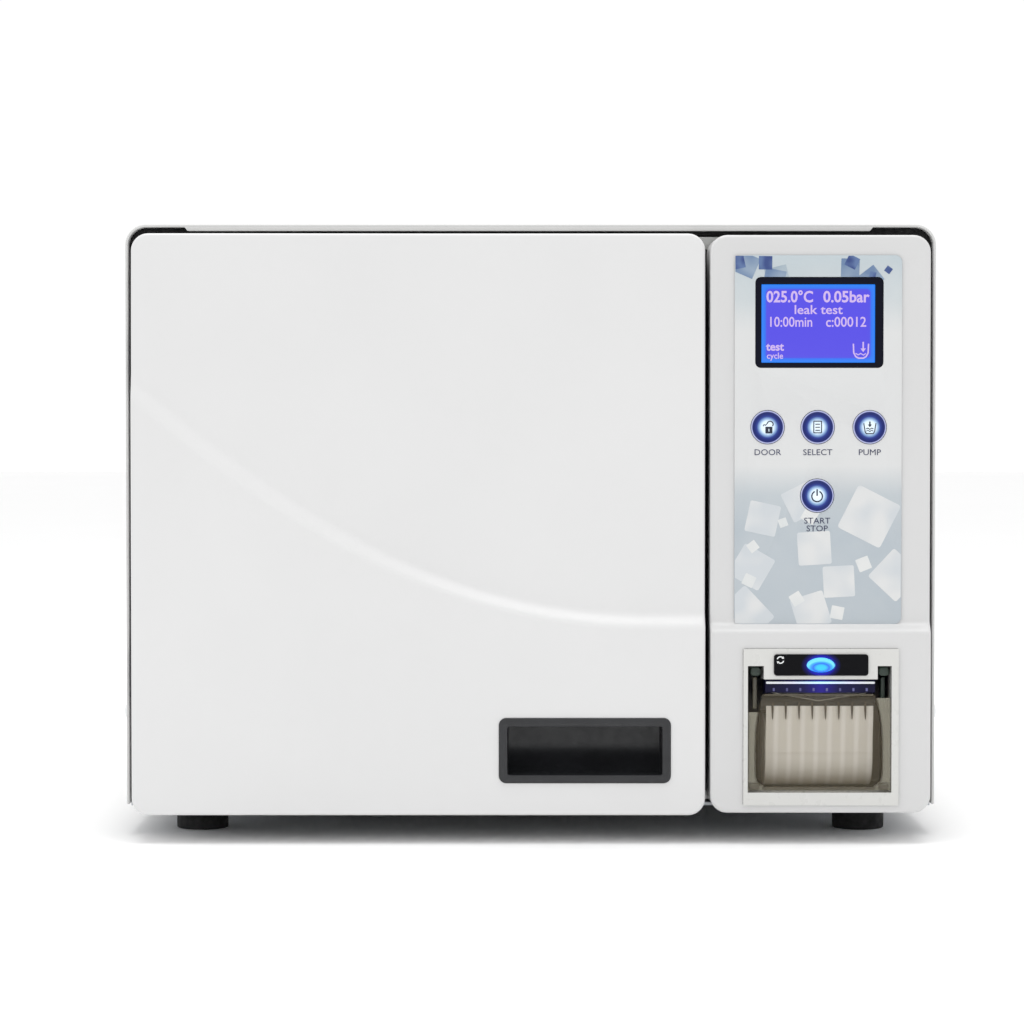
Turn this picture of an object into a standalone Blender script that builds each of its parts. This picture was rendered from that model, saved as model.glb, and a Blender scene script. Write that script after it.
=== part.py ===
"""Benchtop autoclave: white sheet-metal cabinet, drop-in chamber, hinged door, control panel and printer.

Frame: metres, +Z up, origin on the support plane under the middle of the cabinet,
front towards -Y, +X to the right of someone facing the front.
"""

import math

import bpy
import bmesh
from mathutils import Matrix, Vector

# ---------------------------------------------------------------- driving dimensions

GAP = 0.0003                 # clearance between touching pieces

CASE_HALF_WIDTH = 0.2175
CASE_TOP = 0.3283
CASE_SHEET = 0.0015
CASE_CORNER = 0.011
CASE_FRONT = -0.208
CASE_BACK = 0.238
CASE_BOTTOM = 0.0165
DEPTH_HALF = 0.250

FOOT_RADIUS = 0.0142
FOOT_HEIGHT = 0.0152
FOOT_X = 0.180
FOOT_FRONT_Y = -0.172
FOOT_REAR_Y = 0.190
FLOOR_BOTTOM = 0.0155        # underside of the base tray
FLOOR_SHEET = 0.002
FLOOR_FRONT = -0.2045
FLOOR_BACK = 0.2330
SCREW_Y = -0.197             # casing screws, one on each side
SCREW_Z = 0.066
SCREW_HEAD = 0.0043
SCREW_PROUD = 0.0021
BASE_SCREW_X = 0.1790
BASE_SCREW_Y = -0.1965

FRAME_FRONT = -0.2035        # moulded front frame behind the door and the panel
FRAME_WALL = 0.0025
FRAME_BACK = -0.190
FRAME_HALF_WIDTH = 0.2125
FRAME_LOW = 0.019
FRAME_HIGH = 0.3218

CHAMBER_X = -0.060
CHAMBER_Z = 0.175
CHAMBER_RADIUS = 0.085
CHAMBER_WALL = 0.0025
CHAMBER_FRONT = -0.196
CHAMBER_BACK = 0.124
FLANGE_RADIUS = 0.104
FLANGE_THICKNESS = 0.008
HEATER_OUTER = 0.0905
INSULATION_INNER = 0.0915
INSULATION_OUTER = 0.110
RACK_HALF_WIDTH = 0.0560
RACK_HALF_HEIGHT = 0.0575
RACK_SHEET = 0.0012
RACK_Y = (-0.182, 0.096)
TRAY_LEVELS = {"tray_lower": -0.0440, "tray_middle": -0.0080, "tray_upper": 0.0280}
TRAY_HALF_WIDTH = 0.0520
TRAY_Y = (-0.178, 0.092)
TRAY_HEIGHT = 0.012
TRAY_SHEET = 0.0010

FRONT_LOW = -0.2465          # proud lower face of the door and the panel
FRONT_UP = -0.2410           # upper face, above the crease
MOULD_BACK = -0.208
MOULD_WALL = 0.0025
HINGE_WALL = 0.0012          # thinner door wall that clears the hinge knuckles
MOULD_CORNER = 0.009

DOOR_LEFT = -0.2112
DOOR_RIGHT = 0.0924
DOOR_LOW = 0.0145
DOOR_HIGH = 0.3223
CREASE_Z = 0.1134            # height of the crease at the right of the door
CREASE_START_X = 0.062       # left of this the crease climbs as a parabola
CREASE_BEND = 1.63

HINGE_X = -0.204
HINGE_Y = -0.228
HINGE_LEVELS = {"lower": 0.085, "upper": 0.255}
PIN_RADIUS = 0.0027
KNUCKLE_RADIUS = 0.0057
KNUCKLE_HEIGHT = 0.020
LUG_THICKNESS = 0.007

LINER_LEFT = -0.186
LINER_Y = (-0.2115, -0.2095)
LINER_MOUTH = 0.1015
ARM_Y = (-0.2355, -0.2305)
ARM_BAR = (-0.192, 0.152, 0.087, 0.198)          # left, bottom, right, top
ARM_STILE = (-0.1975, 0.066, -0.184, 0.274)
PIN_LOW = 0.062
PIN_HIGH = 0.278
PLATE_RADIUS = 0.100
PLATE_FACE = -0.200
PLATE_BOSS = 0.026
GASKET_INNER = 0.0885
GASKET_OUTER = 0.0990
GASKET_BACK = -0.1963

CUP_LEFT = -0.0170
CUP_RIGHT = 0.0738
CUP_LOW = 0.0320
CUP_HIGH = 0.0666
CUP_RIM = 0.0046
CUP_FRONT = -0.2475
CUP_BACK = -0.2195

KEEPER_X = 0.080
KEEPER_Z = 0.175
KEEPER_HALF = (0.0055, 0.0070)
KEEPER_BACK = -0.1800
KEEPER_EYE = 0.0038          # half the side of the square hole the bolt rises through
BOLT_Y = -0.190
BOLT_RADIUS = 0.0031
BOLT_Z = (0.127, 0.1662)
MOTOR = ((0.058, -0.200, 0.112), (0.094, -0.166, 0.158))
MOTOR_CAN = (0.0760, 0.135)
MOTOR_CAN_RADIUS = 0.012
MOTOR_CAN_BACK = -0.130

PANEL_LEFT = 0.094
PANEL_RIGHT = 0.2112
PANEL_LOW = 0.0158
PANEL_HIGH = 0.3214
PANEL_STEP_Z = 0.1115

OVERLAY = (0.1073, 0.1158, 0.1954, 0.3102)     # left, bottom, right, top
OVERLAY_FRONT = -0.2420
DISPLAY = (0.1183, 0.2511, 0.1855, 0.2986)
KEY_RADIUS = 0.00875
KEY_FRONT = -0.2424
KEY_PLACES = {
    "key_door": (0.1247, 0.2197),
    "key_select": (0.1511, 0.2197),
    "key_pump": (0.1785, 0.2197),
    "key_start": (0.1509, 0.1836),
}

PRINTER = (0.1118, 0.0204, 0.1936, 0.1031)
PRINTER_FRONT = -0.2480
PRINTER_BACK = -0.1920
PRINTER_BAY = (0.1142, 0.0272, 0.1899, 0.0870)
BAY_TOWER_INNER = (0.1226, 0.1825)     # the bay's side slots lie outside these
BAY_TOWER_TOP = 0.0940
HEAD = (0.1235, 0.0798, 0.1815, 0.0866)
HEAD_Y = (-0.2450, -0.2260)
THERMAL_BAR_LOW = 0.0695
THERMAL_BAR_Y = (-0.2325, -0.2290)
LABEL = (0.1278, 0.0890, 0.1775, 0.1003)
BUTTON_X = 0.1526
BUTTON_Z = 0.0945
BUTTON_HALF = (0.0073, 0.0038)
BUTTON_Y = (-0.2494, -0.2418)
POCKET_BACK = -0.2395
COVER_LEFT = 0.1180
COVER_RIGHT = 0.1854
COVER_HINGE_Y = -0.2445
COVER_HINGE_Z = 0.0302
COVER_TOP = 0.0790
COVER_BULGE = 0.0040
COVER_SHEET = 0.0016
WING_LEFT = 0.1146           # flat flanges beside the bulge
WING_RIGHT = 0.1895
WING_TOPS = {"left": 0.0695, "right": 0.0770}
WING_Y = (-0.2460, -0.2446)
PLATEN_RADIUS = 0.004
PLATEN_Y = -0.2372
PLATEN_Z = 0.0735
PLATEN_LEFT = 0.1215
PLATEN_RIGHT = 0.1820
ROLL_RADIUS = 0.0192
ROLL_CORE = 0.0060
ROLL_Y = -0.2185
ROLL_Z = 0.0475
ROLL_LEFT = 0.1241
ROLL_RIGHT = 0.1811

FAN_X = -0.140
FAN_Z = 0.120
FAN_HALF = 0.046
FAN_Y = (0.2080, 0.2330)
REAR_PANEL_Y = (0.2340, 0.2355)
REAR_PANEL_HALF_WIDTH = 0.2155
REAR_PANEL_LOW = 0.0185
REAR_PANEL_HIGH = 0.3258
INLET_X = 0.150
INLET_Z = 0.055
SWITCH_Z = 0.098
SWITCH_TILT = 8              # degrees to either side of its middle
INLET_FRONT = 0.2100
INLET_PROUD = 0.0035
INLET_HALF = (0.0235, 0.0135)
SOCKET_HALF = (0.0120, 0.0085)
SOCKET_FLOOR = 0.2200
SWITCH_HALF = (0.0135, 0.0110)
ROCKER_HALF = (0.0115, 0.0090)
ROCKER_AXIS_Y = 0.2300
OUTLET_X = 0.060
OUTLET_Z = 0.050

FILTER_X = -0.160            # service parts behind the door
FILTER_Z = 0.047
FILTER_RADIUS = 0.0190
COUPLER_X = {"clean": 0.020, "used": 0.048}
COUPLER_Z = 0.045
COUPLER_RADIUS = 0.0080

VALVE_X = -0.042             # equipment inside the cabinet
PIPE_RADIUS = 0.004
PIPE_BEND = 0.014
CONDENSER = ((-0.196, 0.135, 0.040), (-0.110, 0.200, 0.165))
CONDENSER_FINS = 9
PUMP = ((0.112, 0.020, 0.0185), (0.172, 0.062, 0.086))
PUMP_HEAD = ((0.120, 0.028, 0.084), (0.164, 0.054, 0.104))
PUMP_AXIS = (0.142, 0.052)
PUMP_MOTOR_RADIUS = 0.028
PUMP_MOTOR_BACK = 0.150
TANK = ((-0.195, -0.150, 0.2875), (0.085, 0.120, 0.3205))
TANK_EDGE = 0.006
CONTROL_BOARD = ((0.104, -0.2262, 0.125), (0.202, -0.2246, 0.306))
DISPLAY_BACK = -0.2280
POWER_BOARD = ((0.2040, -0.100, 0.150), (0.2056, 0.100, 0.290))

# ---------------------------------------------------------------- scene and collections

for leftover in list(bpy.data.objects):
    bpy.data.objects.remove(leftover, do_unlink=True)

parts = bpy.data.collections.new("benchtop_autoclave")
cutters = bpy.data.collections.new("autoclave_cutters")
for group in (parts, cutters):
    bpy.context.scene.collection.children.link(group)

# ---------------------------------------------------------------- shape helpers

TURNS = {
    "XZ": Matrix(((1, 0, 0, 0), (0, 0, -1, 0), (0, 1, 0, 0), (0, 0, 0, 1))),
    "YZ": Matrix(((0, 0, 1, 0), (1, 0, 0, 0), (0, 1, 0, 0), (0, 0, 0, 1))),
    "XY": Matrix.Identity(4),
}


def add_object(name, data, matrix=None):
    """Link a new object to the parts collection."""
    obj = bpy.data.objects.new(name, data)
    parts.objects.link(obj)
    if matrix is not None:
        obj.matrix_world = matrix
    return obj


def smooth(mesh):
    """Shade round faces smooth and keep real edges sharp."""
    mesh.shade_smooth()
    mesh.set_sharp_from_angle(angle=math.radians(35))


def pivot_at(obj, point):
    """Bring the mesh to world axes and put its origin at a point."""
    obj.data.transform(Matrix.Translation(-Vector(point)) @ obj.matrix_world)
    obj.matrix_world = Matrix.Translation(point)
    return obj


def block(name, low, high):
    """Box between two corners."""
    size = [b - a for a, b in zip(low, high)]
    centre = [(a + b) / 2 for a, b in zip(low, high)]
    bm = bmesh.new()
    bmesh.ops.create_cube(bm, size=1.0, matrix=Matrix.Diagonal((*size, 1.0)))
    mesh = bpy.data.meshes.new(name)
    bm.to_mesh(mesh)
    bm.free()
    return add_object(name, mesh, Matrix.Translation(centre))


def cylinder(name, radius, start, end, segments=32):
    """Straight round bar from one point to another."""
    start = Vector(start)
    end = Vector(end)
    along = end - start
    turn = Vector((0, 0, 1)).rotation_difference(along).to_matrix().to_4x4()
    bm = bmesh.new()
    bmesh.ops.create_cone(bm, cap_ends=True, cap_tris=False, segments=segments,
                          radius1=radius, radius2=radius, depth=along.length)
    mesh = bpy.data.meshes.new(name)
    bm.to_mesh(mesh)
    bm.free()
    smooth(mesh)
    mesh.transform(turn)
    return add_object(name, mesh, Matrix.Translation((start + end) / 2))


def mesh_from_curve(curve_object):
    """Replace a curve object by its welded mesh."""
    name = curve_object.name
    bpy.context.view_layer.update()
    evaluated = curve_object.evaluated_get(bpy.context.evaluated_depsgraph_get())
    mesh = bpy.data.meshes.new_from_object(evaluated)
    bm = bmesh.new()
    bm.from_mesh(mesh)
    bmesh.ops.remove_doubles(bm, verts=bm.verts, dist=0.00001)
    bmesh.ops.recalc_face_normals(bm, faces=bm.faces)
    bm.to_mesh(mesh)
    bm.free()
    matrix = curve_object.matrix_world.copy()
    bpy.data.objects.remove(curve_object, do_unlink=True)
    smooth(mesh)
    return add_object(name, mesh, matrix)


def prism(name, outlines, low, high, plane="XZ"):
    """Flat outline, with any holes after it, extruded between two levels across its plane."""
    curve = bpy.data.curves.new(name, "CURVE")
    curve.dimensions = "2D"
    curve.fill_mode = "BOTH"
    curve.extrude = (high - low) / 2
    for outline in outlines:
        spline = curve.splines.new("POLY")
        spline.points.add(len(outline) - 1)
        for point, place in zip(spline.points, outline):
            point.co = (place[0], place[1], 0.0, 1.0)
        spline.use_cyclic_u = True
    middle = (low + high) / 2
    shift = {"XZ": (0, middle, 0), "YZ": (middle, 0, 0), "XY": (0, 0, middle)}[plane]
    obj = add_object(name, curve, Matrix.Translation(shift) @ TURNS[plane])
    return mesh_from_curve(obj)


def turned(name, profile, centre, plane="XY", segments=48, closed=False):
    """Solid of revolution about the plane's normal; profile is (radius, height) down its outer side."""
    bm = bmesh.new()
    points = [bm.verts.new((radius, 0.0, height)) for radius, height in profile]
    for first, second in zip(points, points[1:]):
        bm.edges.new((first, second))
    if closed:
        bm.edges.new((points[-1], points[0]))
    mesh = bpy.data.meshes.new(name)
    bm.to_mesh(mesh)
    bm.free()
    obj = add_object(name, mesh, Matrix.Translation(centre) @ TURNS[plane])
    screw = obj.modifiers.new("turn", "SCREW")
    screw.steps = segments
    screw.render_steps = segments
    screw.use_merge_vertices = True
    screw.merge_threshold = 0.00001
    return obj


def boolean(target, tools, operation):
    """Cut or join a piece with tools, which become guides."""
    for tool in tools:
        modifier = target.modifiers.new(f"{operation.lower()} {tool.name}", "BOOLEAN")
        modifier.operation = operation
        modifier.solver = "EXACT"
        modifier.object = tool
        parts.objects.unlink(tool)
        cutters.objects.link(tool)
        tool.hide_render = True
        tool.display_type = "WIRE"
    return target


def cut(target, *tools):
    """Take the tools' shapes out of a piece."""
    return boolean(target, tools, "DIFFERENCE")


def join(target, *tools):
    """Add the tools' shapes to a piece."""
    return boolean(target, tools, "UNION")


def rounded(left, low, right, high, radius, steps=5):
    """Rectangle outline with round corners, anticlockwise."""
    corners = [(right - radius, low + radius, -90), (right - radius, high - radius, 0),
               (left + radius, high - radius, 90), (left + radius, low + radius, 180)]
    outline = []
    for x, z, first in corners:
        for step in range(steps + 1):
            angle = math.radians(first + 90 * step / steps)
            outline.append((x + radius * math.cos(angle), z + radius * math.sin(angle)))
    return outline


def circle(x, z, radius, segments=32):
    """Circle outline."""
    turns = [2 * math.pi * step / segments for step in range(segments)]
    return [(x + radius * math.cos(turn), z + radius * math.sin(turn)) for turn in turns]


def rectangle(left, low, right, high):
    """Plain rectangle outline."""
    return [(left, low), (right, low), (right, high), (left, high)]


def grown(bounds, amount):
    """Rectangle bounds made larger on every side."""
    left, low, right, high = bounds
    return (left - amount, low - amount, right + amount, high + amount)


def finish(obj, color, roughness=0.5, metallic=0.0, alpha=1.0):
    """Give a piece its own material."""
    material = bpy.data.materials.new(obj.name)
    material.use_nodes = True
    shader = material.node_tree.nodes["Principled BSDF"]
    shader.inputs["Base Color"].default_value = (*color, 1.0)
    shader.inputs["Roughness"].default_value = roughness
    shader.inputs["Metallic"].default_value = metallic
    shader.inputs["Alpha"].default_value = alpha
    material.diffuse_color = (*color, alpha)
    obj.data.materials.clear()
    obj.data.materials.append(material)
    return obj


WHITE = (0.84, 0.85, 0.86)
STEEL = (0.62, 0.63, 0.65)
DARK = (0.02, 0.02, 0.025)
RUBBER = (0.035, 0.035, 0.037)
BRASS = (0.66, 0.50, 0.24)
GREEN = (0.03, 0.22, 0.10)

# ---------------------------------------------------------------- cabinet


def build_casing():
    """Bent sheet over the top and the sides, open at both ends and underneath."""
    outer = rounded(-CASE_HALF_WIDTH, -CASE_TOP, CASE_HALF_WIDTH, CASE_TOP, CASE_CORNER, 6)
    inner = rounded(CASE_SHEET - CASE_HALF_WIDTH, -CASE_TOP, CASE_HALF_WIDTH - CASE_SHEET,
                    CASE_TOP - CASE_SHEET, CASE_CORNER - CASE_SHEET, 6)
    arch = [point for point in outer if point[1] > 0]
    lining = [point for point in inner if point[1] > 0]
    outline = [(CASE_HALF_WIDTH, CASE_BOTTOM), *arch, (-CASE_HALF_WIDTH, CASE_BOTTOM),
               (CASE_SHEET - CASE_HALF_WIDTH, CASE_BOTTOM), *reversed(lining),
               (CASE_HALF_WIDTH - CASE_SHEET, CASE_BOTTOM)]
    casing = prism("casing_wrap", [outline], CASE_FRONT, CASE_BACK)
    reach = CASE_HALF_WIDTH + 0.01
    cut(casing, cylinder("casing_screw_holes", 0.0024, (-reach, SCREW_Y, SCREW_Z),
                         (reach, SCREW_Y, SCREW_Z), 16))
    finish(casing, WHITE, 0.42)


def build_casing_screws():
    """Domed screws that hold the casing to the front frame, one on each side."""
    shank_end = CASE_HALF_WIDTH - FRAME_HALF_WIDTH - GAP
    dome = [(0.0, SCREW_PROUD + GAP), (SCREW_HEAD * 0.55, SCREW_PROUD * 0.85 + GAP),
            (SCREW_HEAD * 0.88, SCREW_PROUD * 0.5 + GAP), (SCREW_HEAD, GAP),
            (0.0020, GAP), (0.0020, -shank_end), (0.0, -shank_end)]
    for side, sign in (("left", -1), ("right", 1)):
        screw = turned(f"casing_screw_{side}", dome, (0, 0, 0), segments=24)
        place = Matrix.Translation((sign * CASE_HALF_WIDTH, SCREW_Y, SCREW_Z))
        screw.matrix_world = place @ Matrix.Rotation(sign * math.pi / 2, 4, "Y")
        finish(screw, WHITE, 0.35)


def build_base():
    """Base tray with side flanges, and the rubber feet and dome screws under it."""
    floor_top = FLOOR_BOTTOM + FLOOR_SHEET
    side = CASE_HALF_WIDTH - CASE_SHEET - 0.0005
    base = block("chassis_base", (-side, FLOOR_FRONT, FLOOR_BOTTOM), (side, FLOOR_BACK, floor_top))
    for name, sign in (("left", -1), ("right", 1)):
        outer = sign * side
        inner = sign * (side - 0.0015)
        low = (min(outer, inner), -0.186, FLOOR_BOTTOM)
        high = (max(outer, inner), FLOOR_BACK, 0.034)
        join(base, block(f"base_flange_{name}", low, high))
    finish(base, STEEL, 0.4, 0.8)
    foot = [(0.0, FOOT_HEIGHT), (FOOT_RADIUS * 0.9, FOOT_HEIGHT), (FOOT_RADIUS, FOOT_HEIGHT - 0.0015),
            (FOOT_RADIUS * 0.94, 0.0012), (FOOT_RADIUS * 0.88, 0.0), (0.0, 0.0)]
    for row, y in (("front", FOOT_FRONT_Y), ("rear", FOOT_REAR_Y)):
        for name, sign in (("left", -1), ("right", 1)):
            finish(turned(f"foot_{row}_{name}", foot, (sign * FOOT_X, y, 0.0), segments=32), RUBBER, 0.8)
    head_top = FLOOR_BOTTOM - GAP
    dome = [(0.0, head_top), (0.0045, head_top), (0.0043, head_top - 0.0022),
            (0.0030, head_top - 0.0040), (0.0, head_top - 0.0046)]
    for name, sign in (("left", -1), ("right", 1)):
        screw = turned(f"base_screw_{name}", dome, (sign * BASE_SCREW_X, BASE_SCREW_Y, 0.0), segments=24)
        finish(screw, STEEL, 0.3, 0.9)


def build_front_frame():
    """White moulded frame behind the door and the panel, with the chamber mouth and the printer bay."""
    keeper_slot = rectangle(KEEPER_X - 0.0085, KEEPER_Z - 0.016, KEEPER_X + 0.0125, KEEPER_Z + 0.016)
    outlines = [
        rounded(-FRAME_HALF_WIDTH, FRAME_LOW, FRAME_HALF_WIDTH, FRAME_HIGH, 0.008),
        circle(CHAMBER_X, CHAMBER_Z, FLANGE_RADIUS + 0.0025, 48),
        keeper_slot,
        rectangle(*grown(PRINTER, 0.0006)),
        circle(FILTER_X, FILTER_Z, FILTER_RADIUS + 0.0005, 32),
    ]
    for x in COUPLER_X.values():
        outlines.append(circle(x, COUPLER_Z, COUPLER_RADIUS + 0.0005, 24))
    frame = prism("front_frame", outlines, FRAME_FRONT, FRAME_BACK)
    hollow = rounded(FRAME_WALL - FRAME_HALF_WIDTH, FRAME_LOW + FRAME_WALL,
                     FRAME_HALF_WIDTH - FRAME_WALL, FRAME_HIGH - FRAME_WALL, 0.0055)
    cut(frame, prism("front_frame_hollow", [hollow], FRAME_FRONT + FRAME_WALL, FRAME_BACK + 0.01))
    finish(frame, WHITE, 0.45)


def build_rear_panel():
    """Rear sheet with the fan opening, the mains inlet and the drain outlet."""
    outlines = [
        rounded(-REAR_PANEL_HALF_WIDTH, REAR_PANEL_LOW, REAR_PANEL_HALF_WIDTH, REAR_PANEL_HIGH, CASE_CORNER),
        circle(OUTLET_X, OUTLET_Z, 0.0068, 24),
        rectangle(INLET_X - 0.0238, INLET_Z - 0.0138, INLET_X + 0.0238, INLET_Z + 0.0138),
        rectangle(INLET_X - 0.0138, SWITCH_Z - 0.0113, INLET_X + 0.0138, SWITCH_Z + 0.0113),
    ]
    slots = 9
    for index in range(slots):
        z = FAN_Z + (index - (slots - 1) / 2) * 0.0095
        half = math.sqrt(max(0.042 ** 2 - (z - FAN_Z) ** 2, 0.0)) + 0.001
        for side in (-1, 1):
            near = FAN_X + side * 0.002
            far = FAN_X + side * half
            outlines.append(rectangle(min(near, far), z - 0.0028, max(near, far), z + 0.0028))
    finish(prism("rear_panel", outlines, *REAR_PANEL_Y), WHITE, 0.45)


# ---------------------------------------------------------------- chamber


def build_chamber():
    """Steel pressure vessel with its front flange, band heater and insulation."""
    outer = CHAMBER_RADIUS + CHAMBER_WALL
    front = -CHAMBER_FRONT
    back = -CHAMBER_BACK
    profile = [(0.0, back + 0.0025), (0.055, back + 0.0045), (CHAMBER_RADIUS, back + 0.020),
               (CHAMBER_RADIUS, front), (FLANGE_RADIUS, front), (FLANGE_RADIUS, front - FLANGE_THICKNESS),
               (outer, front - FLANGE_THICKNESS), (outer, back + 0.018), (0.057, back + 0.0015), (0.0, back)]
    vessel = turned("chamber_vessel", profile, (CHAMBER_X, 0.0, CHAMBER_Z), "XZ", 48)
    finish(vessel, STEEL, 0.25, 1.0)
    band = [(HEATER_OUTER, 0.10), (HEATER_OUTER, -0.06), (outer + GAP, -0.06), (outer + GAP, 0.10)]
    heater = turned("chamber_heater", band, (CHAMBER_X, 0.0, CHAMBER_Z), "XZ", 48, closed=True)
    finish(heater, (0.45, 0.40, 0.33), 0.6, 0.3)
    wool = [(INSULATION_OUTER, 0.184), (INSULATION_OUTER, -0.095),
            (INSULATION_INNER, -0.095), (INSULATION_INNER, 0.184)]
    insulation = turned("chamber_insulation", wool, (CHAMBER_X, 0.0, CHAMBER_Z), "XZ", 48, closed=True)
    finish(insulation, (0.75, 0.73, 0.66), 0.95)


def build_trays():
    """Rack with pairs of runners, and the trays that lie on them."""
    half = RACK_HALF_WIDTH
    inner = half - RACK_SHEET
    runner = 0.0045
    left_side = [(CHAMBER_X - inner, CHAMBER_Z + RACK_HALF_HEIGHT - RACK_SHEET)]
    right_side = [(CHAMBER_X + inner, CHAMBER_Z - RACK_HALF_HEIGHT + RACK_SHEET)]
    for level in sorted(TRAY_LEVELS.values()):
        z = CHAMBER_Z + level - GAP
        right_side += [(CHAMBER_X + inner, z - RACK_SHEET), (CHAMBER_X + inner - runner, z - RACK_SHEET),
                       (CHAMBER_X + inner - runner, z), (CHAMBER_X + inner, z)]
    right_side.append((CHAMBER_X + inner, CHAMBER_Z + RACK_HALF_HEIGHT - RACK_SHEET))
    left_side = [(2 * CHAMBER_X - x, z) for x, z in reversed(right_side)]
    outer = rectangle(CHAMBER_X - half, CHAMBER_Z - RACK_HALF_HEIGHT,
                      CHAMBER_X + half, CHAMBER_Z + RACK_HALF_HEIGHT)
    finish(prism("tray_rack", [outer, right_side + left_side], *RACK_Y), STEEL, 0.3, 1.0)
    for name, level in TRAY_LEVELS.items():
        low = CHAMBER_Z + level
        left = CHAMBER_X - TRAY_HALF_WIDTH
        right = CHAMBER_X + TRAY_HALF_WIDTH
        tray = block(name, (left, TRAY_Y[0], low), (right, TRAY_Y[1], low + TRAY_HEIGHT))
        cut(tray, block(f"{name}_hollow", (left + TRAY_SHEET, TRAY_Y[0] + TRAY_SHEET, low + TRAY_SHEET),
                        (right - TRAY_SHEET, TRAY_Y[1] - TRAY_SHEET, low + TRAY_HEIGHT + 0.01)))
        finish(tray, STEEL, 0.25, 1.0)


# ---------------------------------------------------------------- door


def crease_height(x):
    """Height of the crease that parts the door's upper and lower faces."""
    return CREASE_Z + CREASE_BEND * max(0.0, CREASE_START_X - x) ** 2


def crease_line(left, right, drop=0.0, steps=16):
    """Points along the crease from left to right."""
    places = [left + (right - left) * step / steps for step in range(steps + 1)]
    return [(x, crease_height(x) - drop) for x in places]


def build_door_cover():
    """Outer door moulding: a hollow shell with a creased face, open at the back."""
    wall = MOULD_WALL
    cover = prism("door_cover", [rounded(DOOR_LEFT, DOOR_LOW, DOOR_RIGHT, DOOR_HIGH, MOULD_CORNER)],
                  FRONT_LOW, MOULD_BACK)
    above = crease_line(DOOR_LEFT - 0.01, DOOR_RIGHT + 0.01)
    above += [(DOOR_RIGHT + 0.01, DOOR_HIGH + 0.01), (DOOR_LEFT - 0.01, DOOR_HIGH + 0.01)]
    hollow = rounded(DOOR_LEFT + HINGE_WALL, DOOR_LOW + wall, DOOR_RIGHT - wall, DOOR_HIGH - wall,
                     MOULD_CORNER - wall)
    inner_left = DOOR_LEFT + wall + 0.001
    inner_right = DOOR_RIGHT - wall - 0.001
    below = [(inner_left, DOOR_LOW + 2 * wall), (inner_right, DOOR_LOW + 2 * wall)]
    below += reversed(crease_line(inner_left, inner_right, drop=0.004))
    cut(cover,
        prism("door_upper_face", [above], FRONT_LOW - 0.01, FRONT_UP),
        prism("door_hollow", [hollow], FRONT_UP + wall, MOULD_BACK + 0.01),
        prism("door_lower_hollow", [below], FRONT_LOW + wall, FRONT_UP + wall + 0.001),
        block("handle_hole", (CUP_LEFT - GAP, FRONT_LOW - 0.01, CUP_LOW - GAP),
              (CUP_RIGHT + GAP, FRONT_UP + 0.01, CUP_HIGH + GAP)))
    for level, z in HINGE_LEVELS.items():
        reach = KNUCKLE_HEIGHT / 2 + 0.0025
        cut(cover, block(f"hinge_notch_{level}", (DOOR_LEFT - 0.005, -0.2380, z - reach),
                         (DOOR_LEFT + wall + 0.001, MOULD_BACK + 0.005, z + reach)))
    finish(pivot_at(cover, (HINGE_X, HINGE_Y, 0.0)), WHITE, 0.35)


def build_handle_cup():
    """Black recessed grip, deeper behind its top lip and sloped along its floor."""
    cup = block("door_handle_cup", (CUP_LEFT, CUP_FRONT, CUP_LOW), (CUP_RIGHT, CUP_BACK, CUP_HIGH))
    lip = CUP_HIGH - CUP_RIM
    sill = CUP_LOW + CUP_RIM - 0.0002
    deepest = CUP_BACK - 0.0030
    slope = [(CUP_FRONT - 0.002, sill), (CUP_FRONT + 0.001, sill)]
    for step in range(1, 7):
        turn = math.radians(90 * step / 6)
        slope.append((CUP_FRONT + 0.001 + (deepest - CUP_FRONT - 0.001) * math.sin(turn),
                      sill + 0.018 * (1 - math.cos(turn))))
    ceiling = CUP_HIGH - 0.0022
    slope += [(deepest, ceiling), (CUP_FRONT + 0.0045, ceiling), (CUP_FRONT + 0.0045, lip),
              (CUP_FRONT - 0.002, lip)]
    pocket = prism("handle_pocket", [slope], CUP_LEFT + CUP_RIM + 0.0005, CUP_RIGHT - CUP_RIM - 0.0005, "YZ")
    finish(pivot_at(cut(cup, pocket), (HINGE_X, HINGE_Y, 0.0)), DARK, 0.4)


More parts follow.
